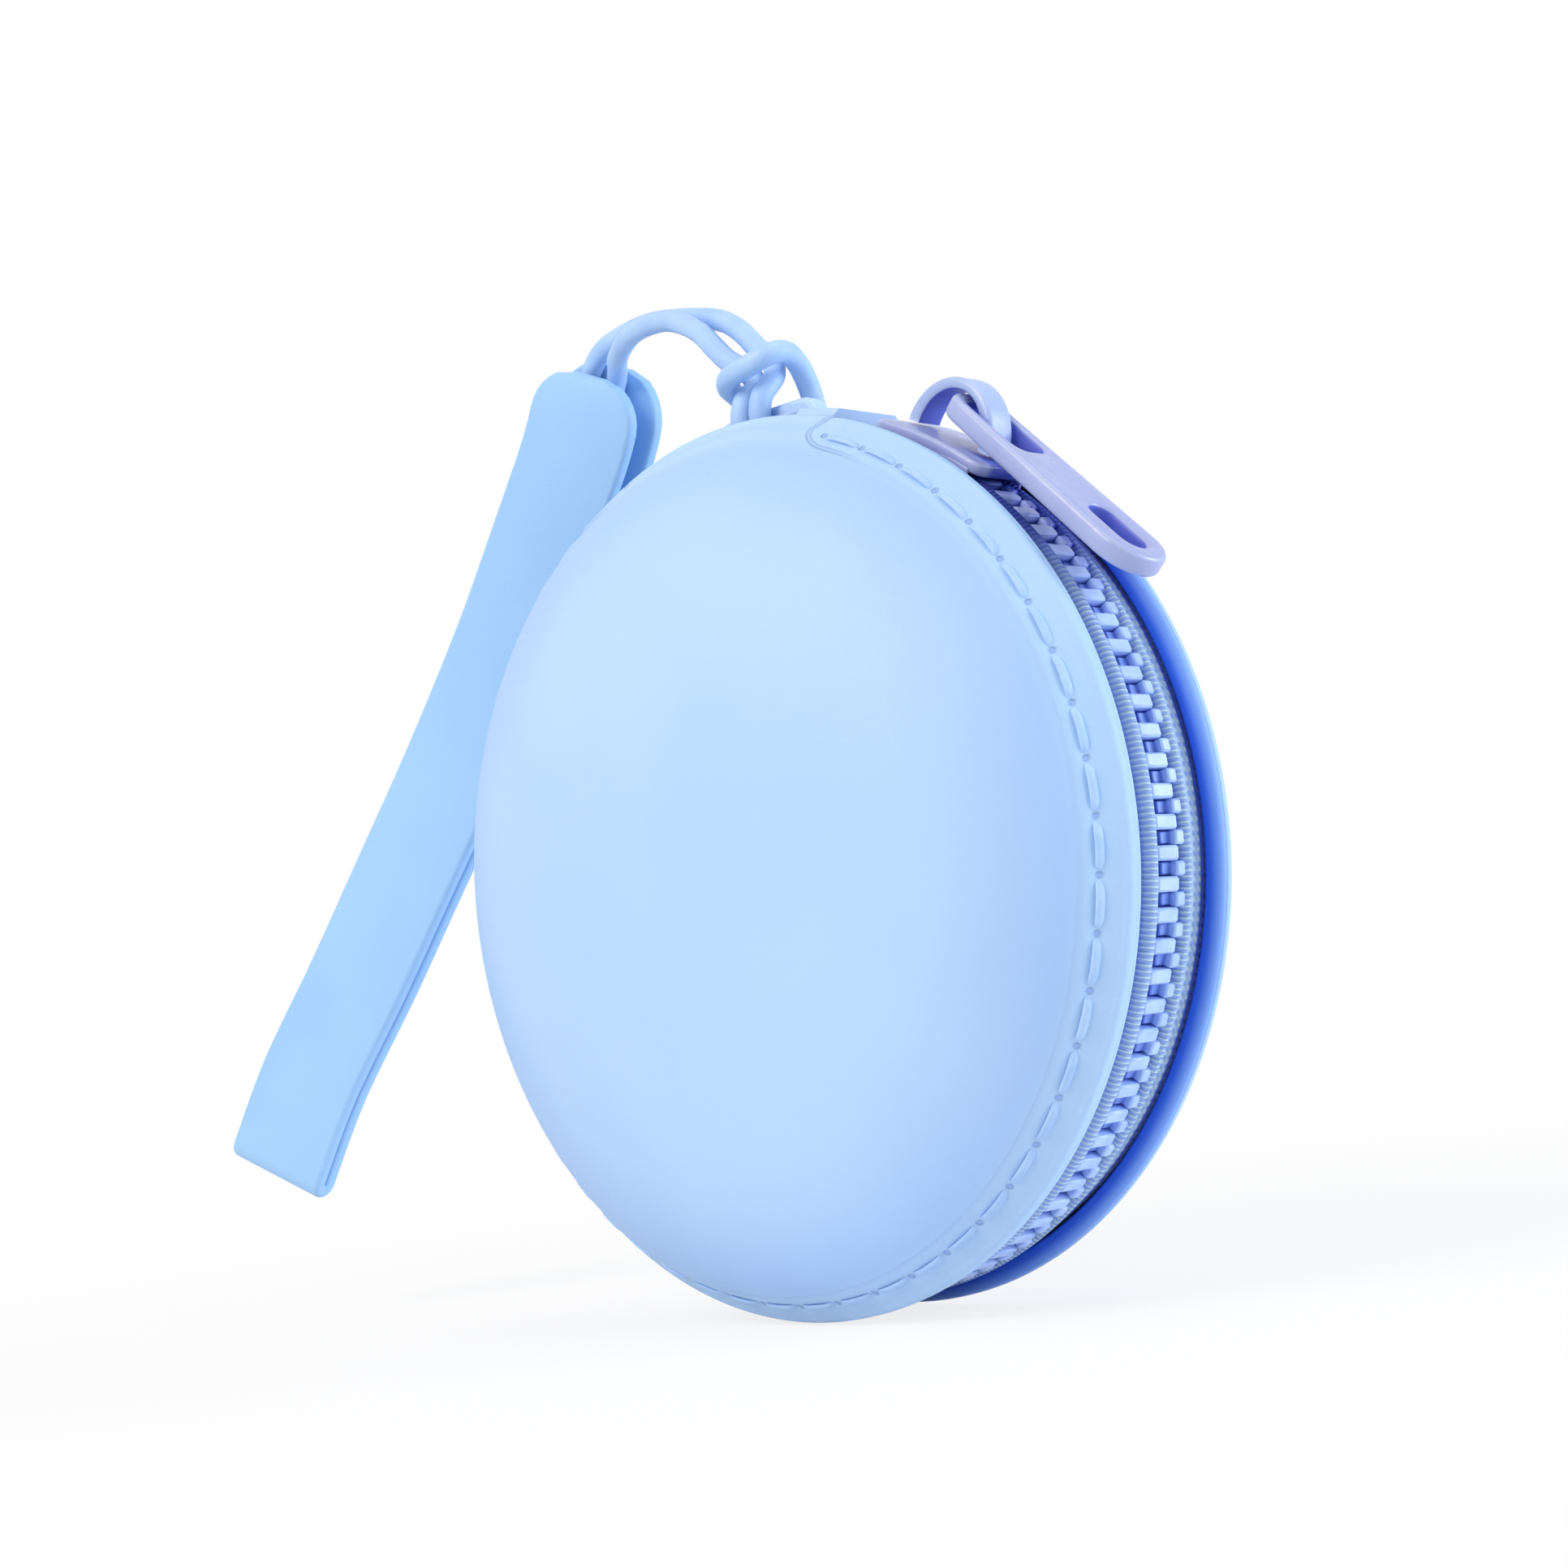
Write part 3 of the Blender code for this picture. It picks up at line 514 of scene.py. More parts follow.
def spin_shell(side):
    bm = bmesh.new()
    line = [bm.verts.new((radius, side * (rim_y + offset), 0.0)) for radius, offset in shell_section()]
    edges = [bm.edges.new(pair) for pair in zip(line, line[1:])]
    spin_round(bm, line + edges, 360.0, shell_steps, close=True)
    bmesh.ops.remove_doubles(bm, verts=bm.verts, dist=0.000002)
    lift_channel(bm, side)
    return bm


print("shell spins in", shell_steps, "steps")

# %% [markdown]
# The shells' finish is the same silicone with the marks of the seam: a needle hole at each end of a
# stitch, a fine crease on the inner side of the row, and the rounded end of the stitched border next
# to the hinge. All three come from two numbers, the distance along the ring and the distance from
# the rim. The border's rounded end is the outline of a capsule: distance to a line with a cap. The
# crease is plain to see round that end and fades along the row. The holes and the crease are
# darkened with painted shade, and the colour also carries painted shade on the dome's outer flank,
# just past the rear rim and in the gap between the rim and the tape.

# %% Marks of the seam
stitch_radius = dome_at(seam_offset)
border_half = 0.0021
border_offset = 0.0029
border_cap = 0.0014
stitches_per_side = 23
stitch_deg = (seam_end_deg + 90.0) / stitches_per_side
stitch_pitch = math.radians(stitch_deg) * stitch_radius
hole_reach = (0.00012, 0.00042)
crease_reach = (0.00004, 0.00026)
crease_run = (0.0015, 0.0080)


def seam_marks(finish, along, offset, ring_far):
    """Share of needle hole, of crease and of stitched border at each point of a shell."""
    count = finish.math("DIVIDE", along, stitch_pitch)
    nearest = finish.math("SUBTRACT", count, finish.math("ROUND", count))
    hole_far = finish.far(finish.times(nearest, stitch_pitch), finish.math("SUBTRACT", offset, seam_offset))
    on_row = finish.soft_step(along, -0.0004, -0.0001)
    outside = finish.soft_step(ring_far, stitch_radius - 0.0011, stitch_radius - 0.0008)
    hole = finish.times(finish.soft_drop(hole_far, *hole_reach), finish.times(on_row, outside))
    past_cap = finish.math("MINIMUM", finish.math("SUBTRACT", along, border_cap), 0.0)
    cap_far = finish.far(finish.times(past_cap, 0.6), finish.math("SUBTRACT", offset, border_offset))
    line_gap = finish.math("ABSOLUTE", finish.math("SUBTRACT", cap_far, border_half))
    crease = finish.times(finish.soft_drop(line_gap, *crease_reach),
                          finish.soft_step(along, *crease_run, 1.0, 0.25))
    border = finish.soft_drop(cap_far, border_half - 0.0002, border_half)
    return hole, crease, border


print("stitch pitch:", round(stitch_pitch * 1000, 2), "mm")

# %% Finish: shell with its seam marks
# Ranges of radius and depth where the shell's colour carries painted shade.
flank_ring = (0.0270, 0.0400)
flank_depth = (0.0042, 0.0060)
behind_depth = (0.0003, 0.0015)
gap_ring = (0.0412, 0.0424)
gap_depth = (0.0002, 0.0008)


def shell_silicone(name):
    finish = Finish(name, 0.52)
    where = finish.coordinates()
    x, y, z = finish.parts(where)
    ring_far = finish.far(x, z)
    offset = finish.math("SUBTRACT", finish.math("ABSOLUTE", y), rim_y)
    turn = finish.math("ARCTAN2", z, finish.math("ABSOLUTE", x))
    along = finish.times(finish.math("SUBTRACT", math.radians(seam_end_deg), turn), stitch_radius)
    hole, crease, border = seam_marks(finish, along, offset, ring_far)
    cloud = finish.soft_step(finish.noise(where, 34.0, 2.0), 0.30, 0.70)
    even = finish.blend(cloud, silicone_light, silicone_blue)
    # Painted shade on the dome's outer flank.
    flank = finish.times(finish.soft_step(ring_far, *flank_ring), finish.soft_step(offset, *flank_depth))
    base = finish.blend(finish.times(flank, 0.55), even, flank_shade_blue)
    # Painted shade in the crease.
    crease_shaded = finish.blend(finish.times(crease, 0.34), base, crease_shade_blue)
    # Painted shade in the needle holes.
    hole_shaded = finish.blend(finish.times(hole, 0.55), crease_shaded, needle_hole_shade_blue)
    # Painted shade on the back half, just past its rim.
    behind = finish.times(finish.soft_step(offset, *behind_depth, 0.80, 0.0), finish.soft_step(y, 0.0, 0.001))
    shaded = finish.blend(behind, hole_shaded, behind_rim_shade_blue)
    # Painted shade in the gap between the rim and the tape.
    rim_gap_shade = finish.times(finish.soft_drop(ring_far, *gap_ring), finish.soft_drop(offset, *gap_depth))
    finish.colour(finish.blend(rim_gap_shade, shaded, gap_shade_blue))
    grain = finish.noise(where, 2400.0, 3.0, 0.6)
    finish.rough(finish.soft_step(grain, 0.25, 0.75, 0.47, 0.60))
    finish.bump(finish.times(finish.noise(where, 900.0, 2.0, 0.7), border), 0.00007)
    finish.bump(grain, 0.00003)
    finish.bump(finish.times(crease, -1.0), 0.00018)
    finish.bump(finish.times(hole, -1.0), 0.00020)
    finish.fixed("Specular IOR Level", 0.38)
    return finish.material


shell_finish = shell_silicone("shell_silicone")
print("shell finish:", shell_finish.name)

# %% Both shells
both_halves(spin_shell, "_dome", shell_finish, "{}_shell", 50.0)

# %% [markdown]
# The seam thread shows as single stitches that dive into a needle hole at both ends. One stitch is
# modelled flat: a ball is stretched along the seam, its flanks are filled out so that it has the even
# width of a thread, and its ends are bent down. It is then copied round the ring. Each copy has only
# 120 faces, so a full row stays light.

# %% One stitch and its row
thread_finish = silicone("seam_thread", (0.440, 0.650, 0.945), (0.385, 0.595, 0.925), 700.0, 5200.0, 0.6)
stitch_long = stitch_pitch * 0.84
stitch_wide = 0.00085
stitch_high = 0.00050
stitch_dive = 0.00030
stitch_proud = 0.00016
dome_slope = 0.24


def stitch_model():
    bm = bmesh.new()
    bmesh.ops.create_uvsphere(bm, u_segments=10, v_segments=12, radius=0.5,
                              matrix=Matrix.Rotation(math.pi / 2, 4, "Y"))
    for vert in bm.verts:
        along = min(1.0, abs(2 * vert.co.x))
        fuller = math.sqrt((1 - along ** 6) / max(0.0001, 1 - along ** 2))
        vert.co.y *= fuller
        vert.co.z *= fuller
    bmesh.ops.scale(bm, vec=(stitch_long, stitch_wide, stitch_high), verts=bm.verts)
    for vert in bm.verts:
        vert.co.z -= stitch_dive * (2 * vert.co.x / stitch_long) ** 4
    return as_mesh(bm, "stitch_model")


def add_on_ring(bm, model, degrees, ring_radius, y=0.0, turn_in=0.0):
    """Copy a flat model, x along the ring, y across and z out, to its place on the ring."""
    count = len(bm.verts)
    bm.from_mesh(model)
    bm.verts.ensure_lookup_table()
    for vert in bm.verts[count:]:
        along, across, out = vert.co
        turn = degrees + math.degrees(along / ring_radius)
        vert.co = polar(ring_radius + out - across * turn_in, turn, y + across)


def stitch_row(side):
    bm = bmesh.new()
    model = stitch_model()
    middle_radius = stitch_radius - channel_depth + stitch_proud
    for index in range(2 * stitches_per_side):
        degrees = seam_end_deg - stitch_deg * (index + 0.5)
        add_on_ring(bm, model, degrees, middle_radius, side * (rim_y + seam_offset), side * dome_slope)
    bpy.data.meshes.remove(model)
    return bm


both_halves(stitch_row, "_stitches", thread_finish, "stitching_{}", 60.0)

# %% [markdown]
# The zip's tapes are woven strips, sewn to the inside of the shells. Only the band between the rim
# and the teeth shows. The strip is one section spun through the open sector, with its outer part
# following the inside of the shell. Its weave is a finish: ribs across the strip, counted in whole
# numbers round the ring so that they meet without a seam, and broken by a finer step along Y. The
# finish also paints shade in deep blue under the rim's edge and under the slider.

# %% Finish: woven tape
tape_radius = 0.04015
rib_count = 290
pick_pitch = 0.00074
shade_start = (24.0, 42.0)
shade_end = (70.0, 78.0)
under_rim_y = (0.0053, 0.0056)
tape_pale = (0.640, 0.880, 1.000)
tape_deep = (0.330, 0.540, 0.980)


def in_radians(*degrees):
    return [math.radians(value) for value in degrees]


def by_slider(finish, turn):
    """1 in the shade under the slider and its puller, fading out along the chain, 0 elsewhere."""
    return finish.times(finish.soft_step(turn, *in_radians(*shade_start)),
                        finish.soft_drop(turn, *in_radians(*shade_end)))


def woven_tape(name):
    finish = Finish(name, 0.85)
    where = finish.coordinates()
    y, turn, ring_far = finish.on_ring(where)
    rib = finish.math("SINE", finish.times(turn, float(rib_count)))
    pick = finish.math("SINE", finish.times(y, math.tau / pick_pitch))
    weave = finish.times(rib, pick)
    fuzz = finish.noise(where, 1500.0, 3.0, 0.6)
    height = finish.math("ADD", finish.times(weave, 0.5), finish.times(rib, 0.5))
    dark = finish.soft_drop(finish.math("ADD", height, finish.times(fuzz, 0.8)), -0.6, 0.9)
    woven = finish.blend(dark, tape_pale, tape_deep)
    # Painted shade under the rim's edge.
    under_rim_shade = finish.times(finish.soft_step(y, *under_rim_y),
                             finish.soft_step(ring_far, tape_radius, tape_radius + 0.0002))
    rim_shade = finish.blend(under_rim_shade, woven, gap_shade_blue)
    # Painted shade under the slider and its puller.
    slider_shade = by_slider(finish, turn)
    finish.colour(finish.blend(finish.times(slider_shade, 0.85), rim_shade, shadow_blue))
    finish.bump(height, 0.00012)
    finish.bump(fuzz, 0.00006)
    finish.fixed("Sheen Weight", 0.25)
    finish.fixed("Specular IOR Level", 0.2)
    return finish.material


tape_finish = woven_tape("zip_tape_weave")
print("one rib every", round(math.tau * tape_radius / rib_count * 1000, 2), "mm")

# %% Both tapes
tape_thick = 0.0005
tape_outer = inner_radius - 0.0003
tape_edge = 0.0034
tape_rim = rim_y - 0.0003
tape_tuck = 0.0048
tape_gap = 0.00038
web_half_deg = 17.4
tape_end_gap_deg = 0.65


def tape_section(side):
    outer = [(tape_outer, tape_edge), (tape_outer, tape_rim)]
    inner = [(tape_outer - tape_thick, tape_edge), (tape_outer - tape_thick, tape_rim)]
    for step in range(1, 9):
        offset = tape_tuck * step / 8
        radius = dome_at(offset, inner_radius, inner_depth) - tape_gap
        outer.append((radius, rim_y + offset))
        inner.append((radius - tape_thick, rim_y + offset))
    return [(radius, side * y) for radius, y in outer + inner[::-1]]


def spin_tape(side):
    bm = bmesh.new()
    start = 90.0 + web_half_deg + tape_end_gap_deg
    sweep = 360.0 - 2 * (web_half_deg + tape_end_gap_deg)
    corners = [bm.verts.new(polar(radius, start, y)) for radius, y in tape_section(side)]
    face = bm.faces.new(corners)
    spin_round(bm, [face] + corners + list(bm.edges), sweep, 240)
    return bm


both_halves(spin_tape, "_tape", tape_finish, "zip_tape_{}", 50.0)

# %% [markdown]
# The teeth are moulded round a cord at the edge of each tape. A tooth is a small block that grips
# the cord, with a head that reaches past the middle between two heads of the other row. A cube
# scaled, moved and bevelled gives each block, and one tooth is then copied round the ring. The two
# rows are half a pitch apart, so the heads take turns. In the rear row the head is stepped: a low
# tongue runs on under the front row, and the dip over it shows as a row of small dark marks. The
# finish paints shade there: it turns deep blue below the top of the chain, where little light gets
# in, and it paints the shade of the slider and of its mouth on the teeth beside it.

# %% Finish: moulded teeth
deep_radius = tape_radius + 0.00020
open_radius = tape_radius + 0.00085
mouth_start = (45.0, 49.0)
rear_row_y = (0.0007, 0.0011)
tooth_pale = (0.480, 0.670, 1.000)
tooth_deep = (0.380, 0.560, 0.980)
tooth_shaded = (0.470, 0.600, 1.000)


def tooth_plastic(name):
    finish = Finish(name, 0.38)
    where = finish.coordinates()
    y, turn, ring_far = finish.on_ring(where)
    cloud = finish.soft_step(finish.noise(where, 420.0, 2.0), 0.3, 0.7)
    moulded = finish.blend(cloud, tooth_pale, tooth_deep)
    # Painted shade: deep blue low in the chain, where little light gets in.
    low = finish.soft_drop(ring_far, deep_radius, open_radius)
    # Painted shade under the slider: the heads take a shaded tone, the low parts go darker, and the slider's
    # mouth darkest.
    shaded = by_slider(finish, turn)
    paler = finish.blend(shaded, moulded, tooth_shaded)
    between = finish.blend(shaded, recess_shade_blue, shadow_blue)
    mouth = finish.times(shaded, finish.soft_step(turn, *in_radians(*mouth_start)))
    covered = finish.math("MAXIMUM", finish.times(low, 0.85), finish.times(mouth, 0.8))
    sunk = finish.blend(covered, paler, between)
    # Painted shade on the rear row next to the slider.
    rear_row_shade = finish.times(shaded, finish.soft_step(y, *rear_row_y))
    finish.colour(finish.blend(finish.times(rear_row_shade, 0.9), sunk, shadow_blue))
    grain = finish.noise(where, 1800.0, 2.0)
    finish.rough(finish.soft_step(grain, 0.2, 0.8, 0.32, 0.48))
    finish.bump(grain, 0.00003)
    return finish.material


teeth_finish = tooth_plastic("tooth_plastic")
print("teeth finish:", teeth_finish.name)

# %% One tooth
tooth_pitch = 0.0026
tooth_pitch_deg = math.degrees(tooth_pitch / tape_radius)
chain_start_deg = 57.1
chain_end_deg = 130.3


def round_edges(bm, edges, offset, segments=3):
    bmesh.ops.bevel(bm, geom=edges, offset=offset, offset_type="OFFSET", affect="EDGES",
                    segments=segments, profile=0.5, material=-1)


def add_block(bm, centre, size, rounding):
    part = bmesh.new()
    bmesh.ops.create_cube(part, size=1.0)
    bmesh.ops.scale(part, vec=size, verts=part.verts)
    bmesh.ops.translate(part, vec=centre, verts=part.verts)
    round_edges(part, list(part.edges), rounding, 1)
    add_part(bm, part)


def tooth_model(side):
    """Each block is given by its centre, its size and the rounding of its edges."""
    grip = ((0.0, side * 0.00245, 0.0), (0.00150, 0.00080, 0.0017), 0.00015)
    rear_head = ((0.0, 0.00132, 0.0), (0.00122, 0.00124, 0.0025), 0.00018)
    rear_tongue = ((0.0, 0.00020, -0.0003), (0.00110, 0.00120, 0.0014), 0.00012)
    front_head = ((0.0, -0.00042, 0.0), (0.00128, 0.00304, 0.0025), 0.00020)
    bm = bmesh.new()
    for block in (grip, rear_head, rear_tongue) if side > 0 else (grip, front_head):
        add_block(bm, *block)
    return as_mesh(bm, "tooth_model")


def tooth_row(side):
    bm = bmesh.new()
    phase = 0.0 if side > 0 else 0.5
    span = chain_start_deg + 360.0 - chain_end_deg
    count = int(span / tooth_pitch_deg - phase)
    model = tooth_model(side)
    for index in range(count):
        add_on_ring(bm, model, chain_start_deg - (index + phase + 0.25) * tooth_pitch_deg, tape_radius)
    bpy.data.meshes.remove(model)
    print(count, "teeth")
    return bm


both_halves(tooth_row, "_teeth", teeth_finish, "teeth_{}", 40.0)

# %% [markdown]
# Each row is sewn to its tape over a cord. The thread goes round and round the cord, twice in a
# millimetre, and hides the grips of the teeth. The cord is an oval section spun along the chain and a
# little past it, up to the top stop that is clamped to it. Its finish counts the turns of the thread,
# and paints shade low on the cord and under the slider.

# %% Finish: sewn bead
bead_turns = 500
thread_slant = 700.0
bead_pale = (0.580, 0.800, 1.000)
bead_deep = (0.350, 0.530, 1.000)


def sewn_bead(name):
    finish = Finish(name, 0.8)
    where = finish.coordinates()
    y, turn, ring_far = finish.on_ring(where)
    wound = finish.math("ADD", finish.times(turn, float(bead_turns)), finish.times(y, thread_slant))
    rib = finish.math("SINE", wound)
    fuzz = finish.noise(where, 1700.0, 2.0, 0.6)
    dark = finish.soft_drop(finish.math("ADD", rib, fuzz), -0.5, 0.9)
    sewn = finish.blend(dark, bead_pale, bead_deep)
    # Painted shade low on the cord, where little light gets in.
    low = finish.soft_drop(ring_far, deep_radius, open_radius)
    sunk = finish.blend(finish.times(low, 0.65), sewn, recess_shade_blue)
    # Painted shade under the slider and its puller.
    slider_shade = by_slider(finish, turn)
    finish.colour(finish.blend(finish.times(slider_shade, 0.9), sunk, shadow_blue))
    finish.bump(rib, 0.00012)
    finish.fixed("Specular IOR Level", 0.2)
    return finish.material


bead_finish = sewn_bead("sewn_bead")
print("one turn of thread every", round(math.tau * tape_radius / bead_turns * 1000, 2), "mm")

# %% Both beads
bead_start_deg = 66.9
bead_high = 0.00128
bead_far_y = 0.00322
bead_near_y = {1: 0.00198, -1: 0.00135}


def spin_bead(side):
    bm = bmesh.new()
    half_wide = (bead_far_y - bead_near_y[side]) / 2
    centre_y = bead_near_y[side] + half_wide
    turns = [math.tau * step / 16 for step in range(16)]
    section = [bm.verts.new(polar(tape_radius + bead_high * math.cos(turn), bead_start_deg,
                                  side * (centre_y + half_wide * math.sin(turn))))
               for turn in turns]
    ring = bm.faces.new(section)
    sweep = bead_start_deg + 360.0 - chain_end_deg
    spin_round(bm, [ring] + section + list(ring.edges), sweep, 248, toward=1.0)
    return bm


both_halves(spin_bead, "_bead", bead_finish, "teeth_{}", 50.0)

# %% [markdown]
# The metal parts wear a coat of lavender paint. Paint on a small casting is smooth with a slight
# orange peel, and a little darker in its clouds. It is paler at the edges, partly where they rub
# and partly as a painted highlight; the geometry node's pointiness finds those edges. The crown
# gets a paler, bluer copy of the paint, a painted highlight, and the walls that face inwards, in
# the crown and in the puller's openings, get a deep blue that is painted shade. The slider's paint
# also carries painted shade in its mouth and under the puller.

# %% Finish: painted metal
seat_y = (0.0016, 0.0028)
seat_end = (52.5, 55.5)
mouth_y = (0.0034, 0.0037)
mouth_ring = (0.0417, 0.0421)
worn_and_highlit_edge = (0.52, 0.60)
worn_and_highlit_paint = (0.700, 0.840, 1.000)


def plate_shade(finish, where):
    """Painted shade: 1 in the slider's mouth, a little less on its plate where the puller covers it, 0
    elsewhere.
    """
    y, turn, ring_far = finish.on_ring(where)
    across = finish.math("ABSOLUTE", y)
    seat = finish.times(finish.soft_drop(across, *seat_y), finish.soft_drop(turn, *in_radians(*seat_end)))
    mouth = finish.times(finish.soft_drop(across, *mouth_y), finish.soft_drop(ring_far, *mouth_ring))
    return finish.math("MAXIMUM", finish.times(seat, 0.85), mouth)


def painted_metal(name, light, dark, shade=None):
    finish = Finish(name, 0.32)
    where = finish.coordinates()
    cloud = finish.soft_step(finish.noise(where, 240.0, 2.0), 0.3, 0.7)
    peel = finish.noise(where, 1500.0, 2.0)
    # Paler at the edges: partly rubbed paint, partly a painted highlight.
    edge = finish.soft_step(finish.node("ShaderNodeNewGeometry").outputs["Pointiness"], *worn_and_highlit_edge)
    paint = finish.blend(finish.times(edge, 0.75), finish.blend(cloud, light, dark), worn_and_highlit_paint)
    if shade is not None:
        paint = finish.blend(shade(finish, where), paint, shadow_blue)
    finish.colour(paint)
    finish.rough(finish.soft_step(peel, 0.2, 0.8, 0.27, 0.42))
    finish.bump(peel, 0.00003)
    finish.fixed("Coat Weight", 0.15)
    finish.fixed("Coat Roughness", 0.25)
    return finish.material


# Painted shade: a deep blue for walls that face inwards, where little light reaches.
def painted_inner_shade(name):
    finish = Finish(name, 0.45)
    cloud = finish.noise(finish.coordinates(), 240.0, 2.0)
    finish.colour(finish.blend(cloud, (0.130, 0.180, 0.640), (0.070, 0.105, 0.540)))
    return finish.material


def wear(nodes, finish):
    """Give a finish of this scene to solids that keep their own mesh."""
    for node in nodes:
        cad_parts[node].data.materials.clear()
        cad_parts[node].data.materials.append(finish)
        print(node, "wears", finish.name)


lavender = ((0.345, 0.400, 0.690), (0.310, 0.365, 0.665))
metal_finish = painted_metal("painted_metal", *lavender)
# The slider's paint carries painted shade in its mouth and under the puller.
slider_finish = painted_metal("slider_paint", *lavender, plate_shade)
# The crown's paler, bluer paint is a painted highlight.
crown_highlit_finish = painted_metal("crown_highlit_paint", (0.380, 0.500, 0.780), (0.340, 0.460, 0.760))
# Deep blue painted shade for walls that face inwards.
inner_shade_finish = painted_inner_shade("painted_inner_shade")
wear(("top_stop_back", "top_stop_front", "bottom_stop"), metal_finish)

# %% [markdown]
# The slider's body is two plates with a wedge between them. The top plate shows: it is wider where
# the rows part and narrower over the closed chain, with flanges that turn down on both sides. It is
# drawn flat as an outline, pushed up, bevelled, and then wrapped on the ring by the same helper that
# places the teeth.

# %% Slider body
slider_deg = 58.0
slider_half = 0.0063
plate_line = ((-1.0, -0.0040), (-0.2, -0.0042), (1.0, -0.0045), (1.0, 0.0045), (-0.2, 0.0042), (-1.0, 0.0040))
plate_thick = 0.0012
plate_low = 0.00175
plate_corner = 0.0016
flange_line = ((-0.86, 0.00372), (0.80, 0.00372), (0.80, 0.0044), (0.3, 0.0042), (-0.86, 0.0041))
flange_low = 0.00062
flange_over = 0.0004
wedge_line = ((-0.0003, -0.0013), (-0.0003, 0.0013), (-0.0042, 0.0004), (-0.0042, -0.0004))
wedge_over = 0.0002


def rounded_outline(corners, radius, steps=6):
    """Corner points of an outline, each replaced by a small arc."""
    line = []
    count = len(corners)
    for index in range(count):
        here = Vector(corners[index])
        back = Vector(corners[index - 1]) - here
        ahead = Vector(corners[(index + 1) % count]) - here
        reach = min(radius, back.length * 0.45, ahead.length * 0.45)
        first = here + back.normalized() * reach
        last = here + ahead.normalized() * reach
        for step in range(steps + 1):
            t = step / steps
            line.append(first * (1 - t) ** 2 + here * 2 * t * (1 - t) + last * t * t)
    return line


def push_up(bm, faces, height):
    pushed = bmesh.ops.extrude_face_region(bm, geom=faces)
    top = [item for item in pushed["geom"] if isinstance(item, bmesh.types.BMVert)]
    bmesh.ops.translate(bm, verts=top, vec=(0.0, 0.0, height))


def is_level(edge):
    return abs(edge.verts[0].co.z - edge.verts[1].co.z) < 0.000001


def add_plate(bm, corners, low, high, radius, rounding, cuts=8):
    """An outline pushed up to a plate, sliced across so that it can bend, with bevelled edges."""
    part = bmesh.new()
    outline = rounded_outline(corners, radius)
    face = part.faces.new([part.verts.new((point.x, point.y, low)) for point in outline])
    push_up(part, [face], high - low)
    if rounding > 0:
        round_edges(part, [edge for edge in part.edges if is_level(edge)], rounding)
    start = min(corner[0] for corner in corners)
    length = max(corner[0] for corner in corners) - start
    for cut in range(1, cuts):
        bmesh.ops.bisect_plane(part, geom=part.verts[:] + part.edges[:] + part.faces[:],
                               plane_co=(start + length * cut / cuts, 0.0, 0.0), plane_no=(1.0, 0.0, 0.0))
    add_part(bm, part)


def slider_model():
    """The lines give x as a share of the half length, and for the wedge as a step back from its end."""
    bm = bmesh.new()
    outline = [(share * slider_half, y) for share, y in plate_line]
    add_plate(bm, outline, plate_low, plate_low + plate_thick, plate_corner, 0.00035)
    add_plate(bm, outline, -plate_low - plate_thick, -plate_low, plate_corner, 0.00030)
    for side in (-1, 1):
        flange = [(share * slider_half, side * y) for share, y in flange_line]
        add_plate(bm, flange, flange_low, plate_low + flange_over, 0.0003, 0.00012)
        add_plate(bm, flange, -plate_low - flange_over, -flange_low, 0.0003, 0.00012)
    wedge = [(slider_half + step, y) for step, y in wedge_line]
    add_plate(bm, wedge, -plate_low - wedge_over, plate_low + wedge_over, 0.0004, 0.0, 4)
    return as_mesh(bm, "slider_model")


slider_flat = slider_model()
slider_bm = bmesh.new()
add_on_ring(slider_bm, slider_flat, slider_deg, tape_radius)
bpy.data.meshes.remove(slider_flat)
hand_over(slider_bm, "slider_casting", "slider", slider_finish, "slider_body", 35.0)

# %% [markdown]
# The crown is the arch on top of the slider that the puller hangs in. It is one bar with rounded
# edges, thin at the top and thicker at both feet. Two half ellipses give its outer and its inner
# side, and a rounded section is carried along the space between them, one step at a time.

# %% Crown
crown_half = 0.0052
crown_foot = 0.0015
crown_bar = 0.0011
crown_wide = 0.0032
crown_rounding = 0.00052
crown_top = 0.0486
crown_seat = 0.0434
crown_steps = 40


def rounded_bar(width, height, radius):
    corners = [(-0.5, -0.5), (0.5, -0.5), (0.5, 0.5), (-0.5, 0.5)]
    return rounded_outline([(x * width, y * height) for x, y in corners], radius, 4)


def loft(outlines):
    """Carry a face from outline to outline, and close the start with a face of its own."""
    bm = bmesh.new()
    bm.faces.new([bm.verts.new(place) for place in outlines[0]])
    face = bm.faces.new([bm.verts.new(place) for place in outlines[0]])
    for outline in outlines[1:]:
        face = bmesh.ops.extrude_discrete_faces(bm, faces=[face])["faces"][0]
        for loop, place in zip(face.loops, outline):
            loop.vert.co = place
    return bm


def arch_point(half, top, turn):
    foot = math.sqrt(crown_seat ** 2 - half ** 2)
    return Vector((half * math.cos(turn), 0.0, foot + (top - foot) * math.sin(turn)))


def crown_outline(step):
    turn = math.pi * step / crown_steps
    outer = arch_point(crown_half, crown_top, turn)
    inner = arch_point(crown_half - crown_foot, crown_top - crown_bar, turn)
    bar = outer - inner
    return [(outer + inner) / 2 + bar.normalized() * point.x + Vector((0.0, point.y, 0.0))
            for point in rounded_bar(bar.length, crown_wide, crown_rounding)]


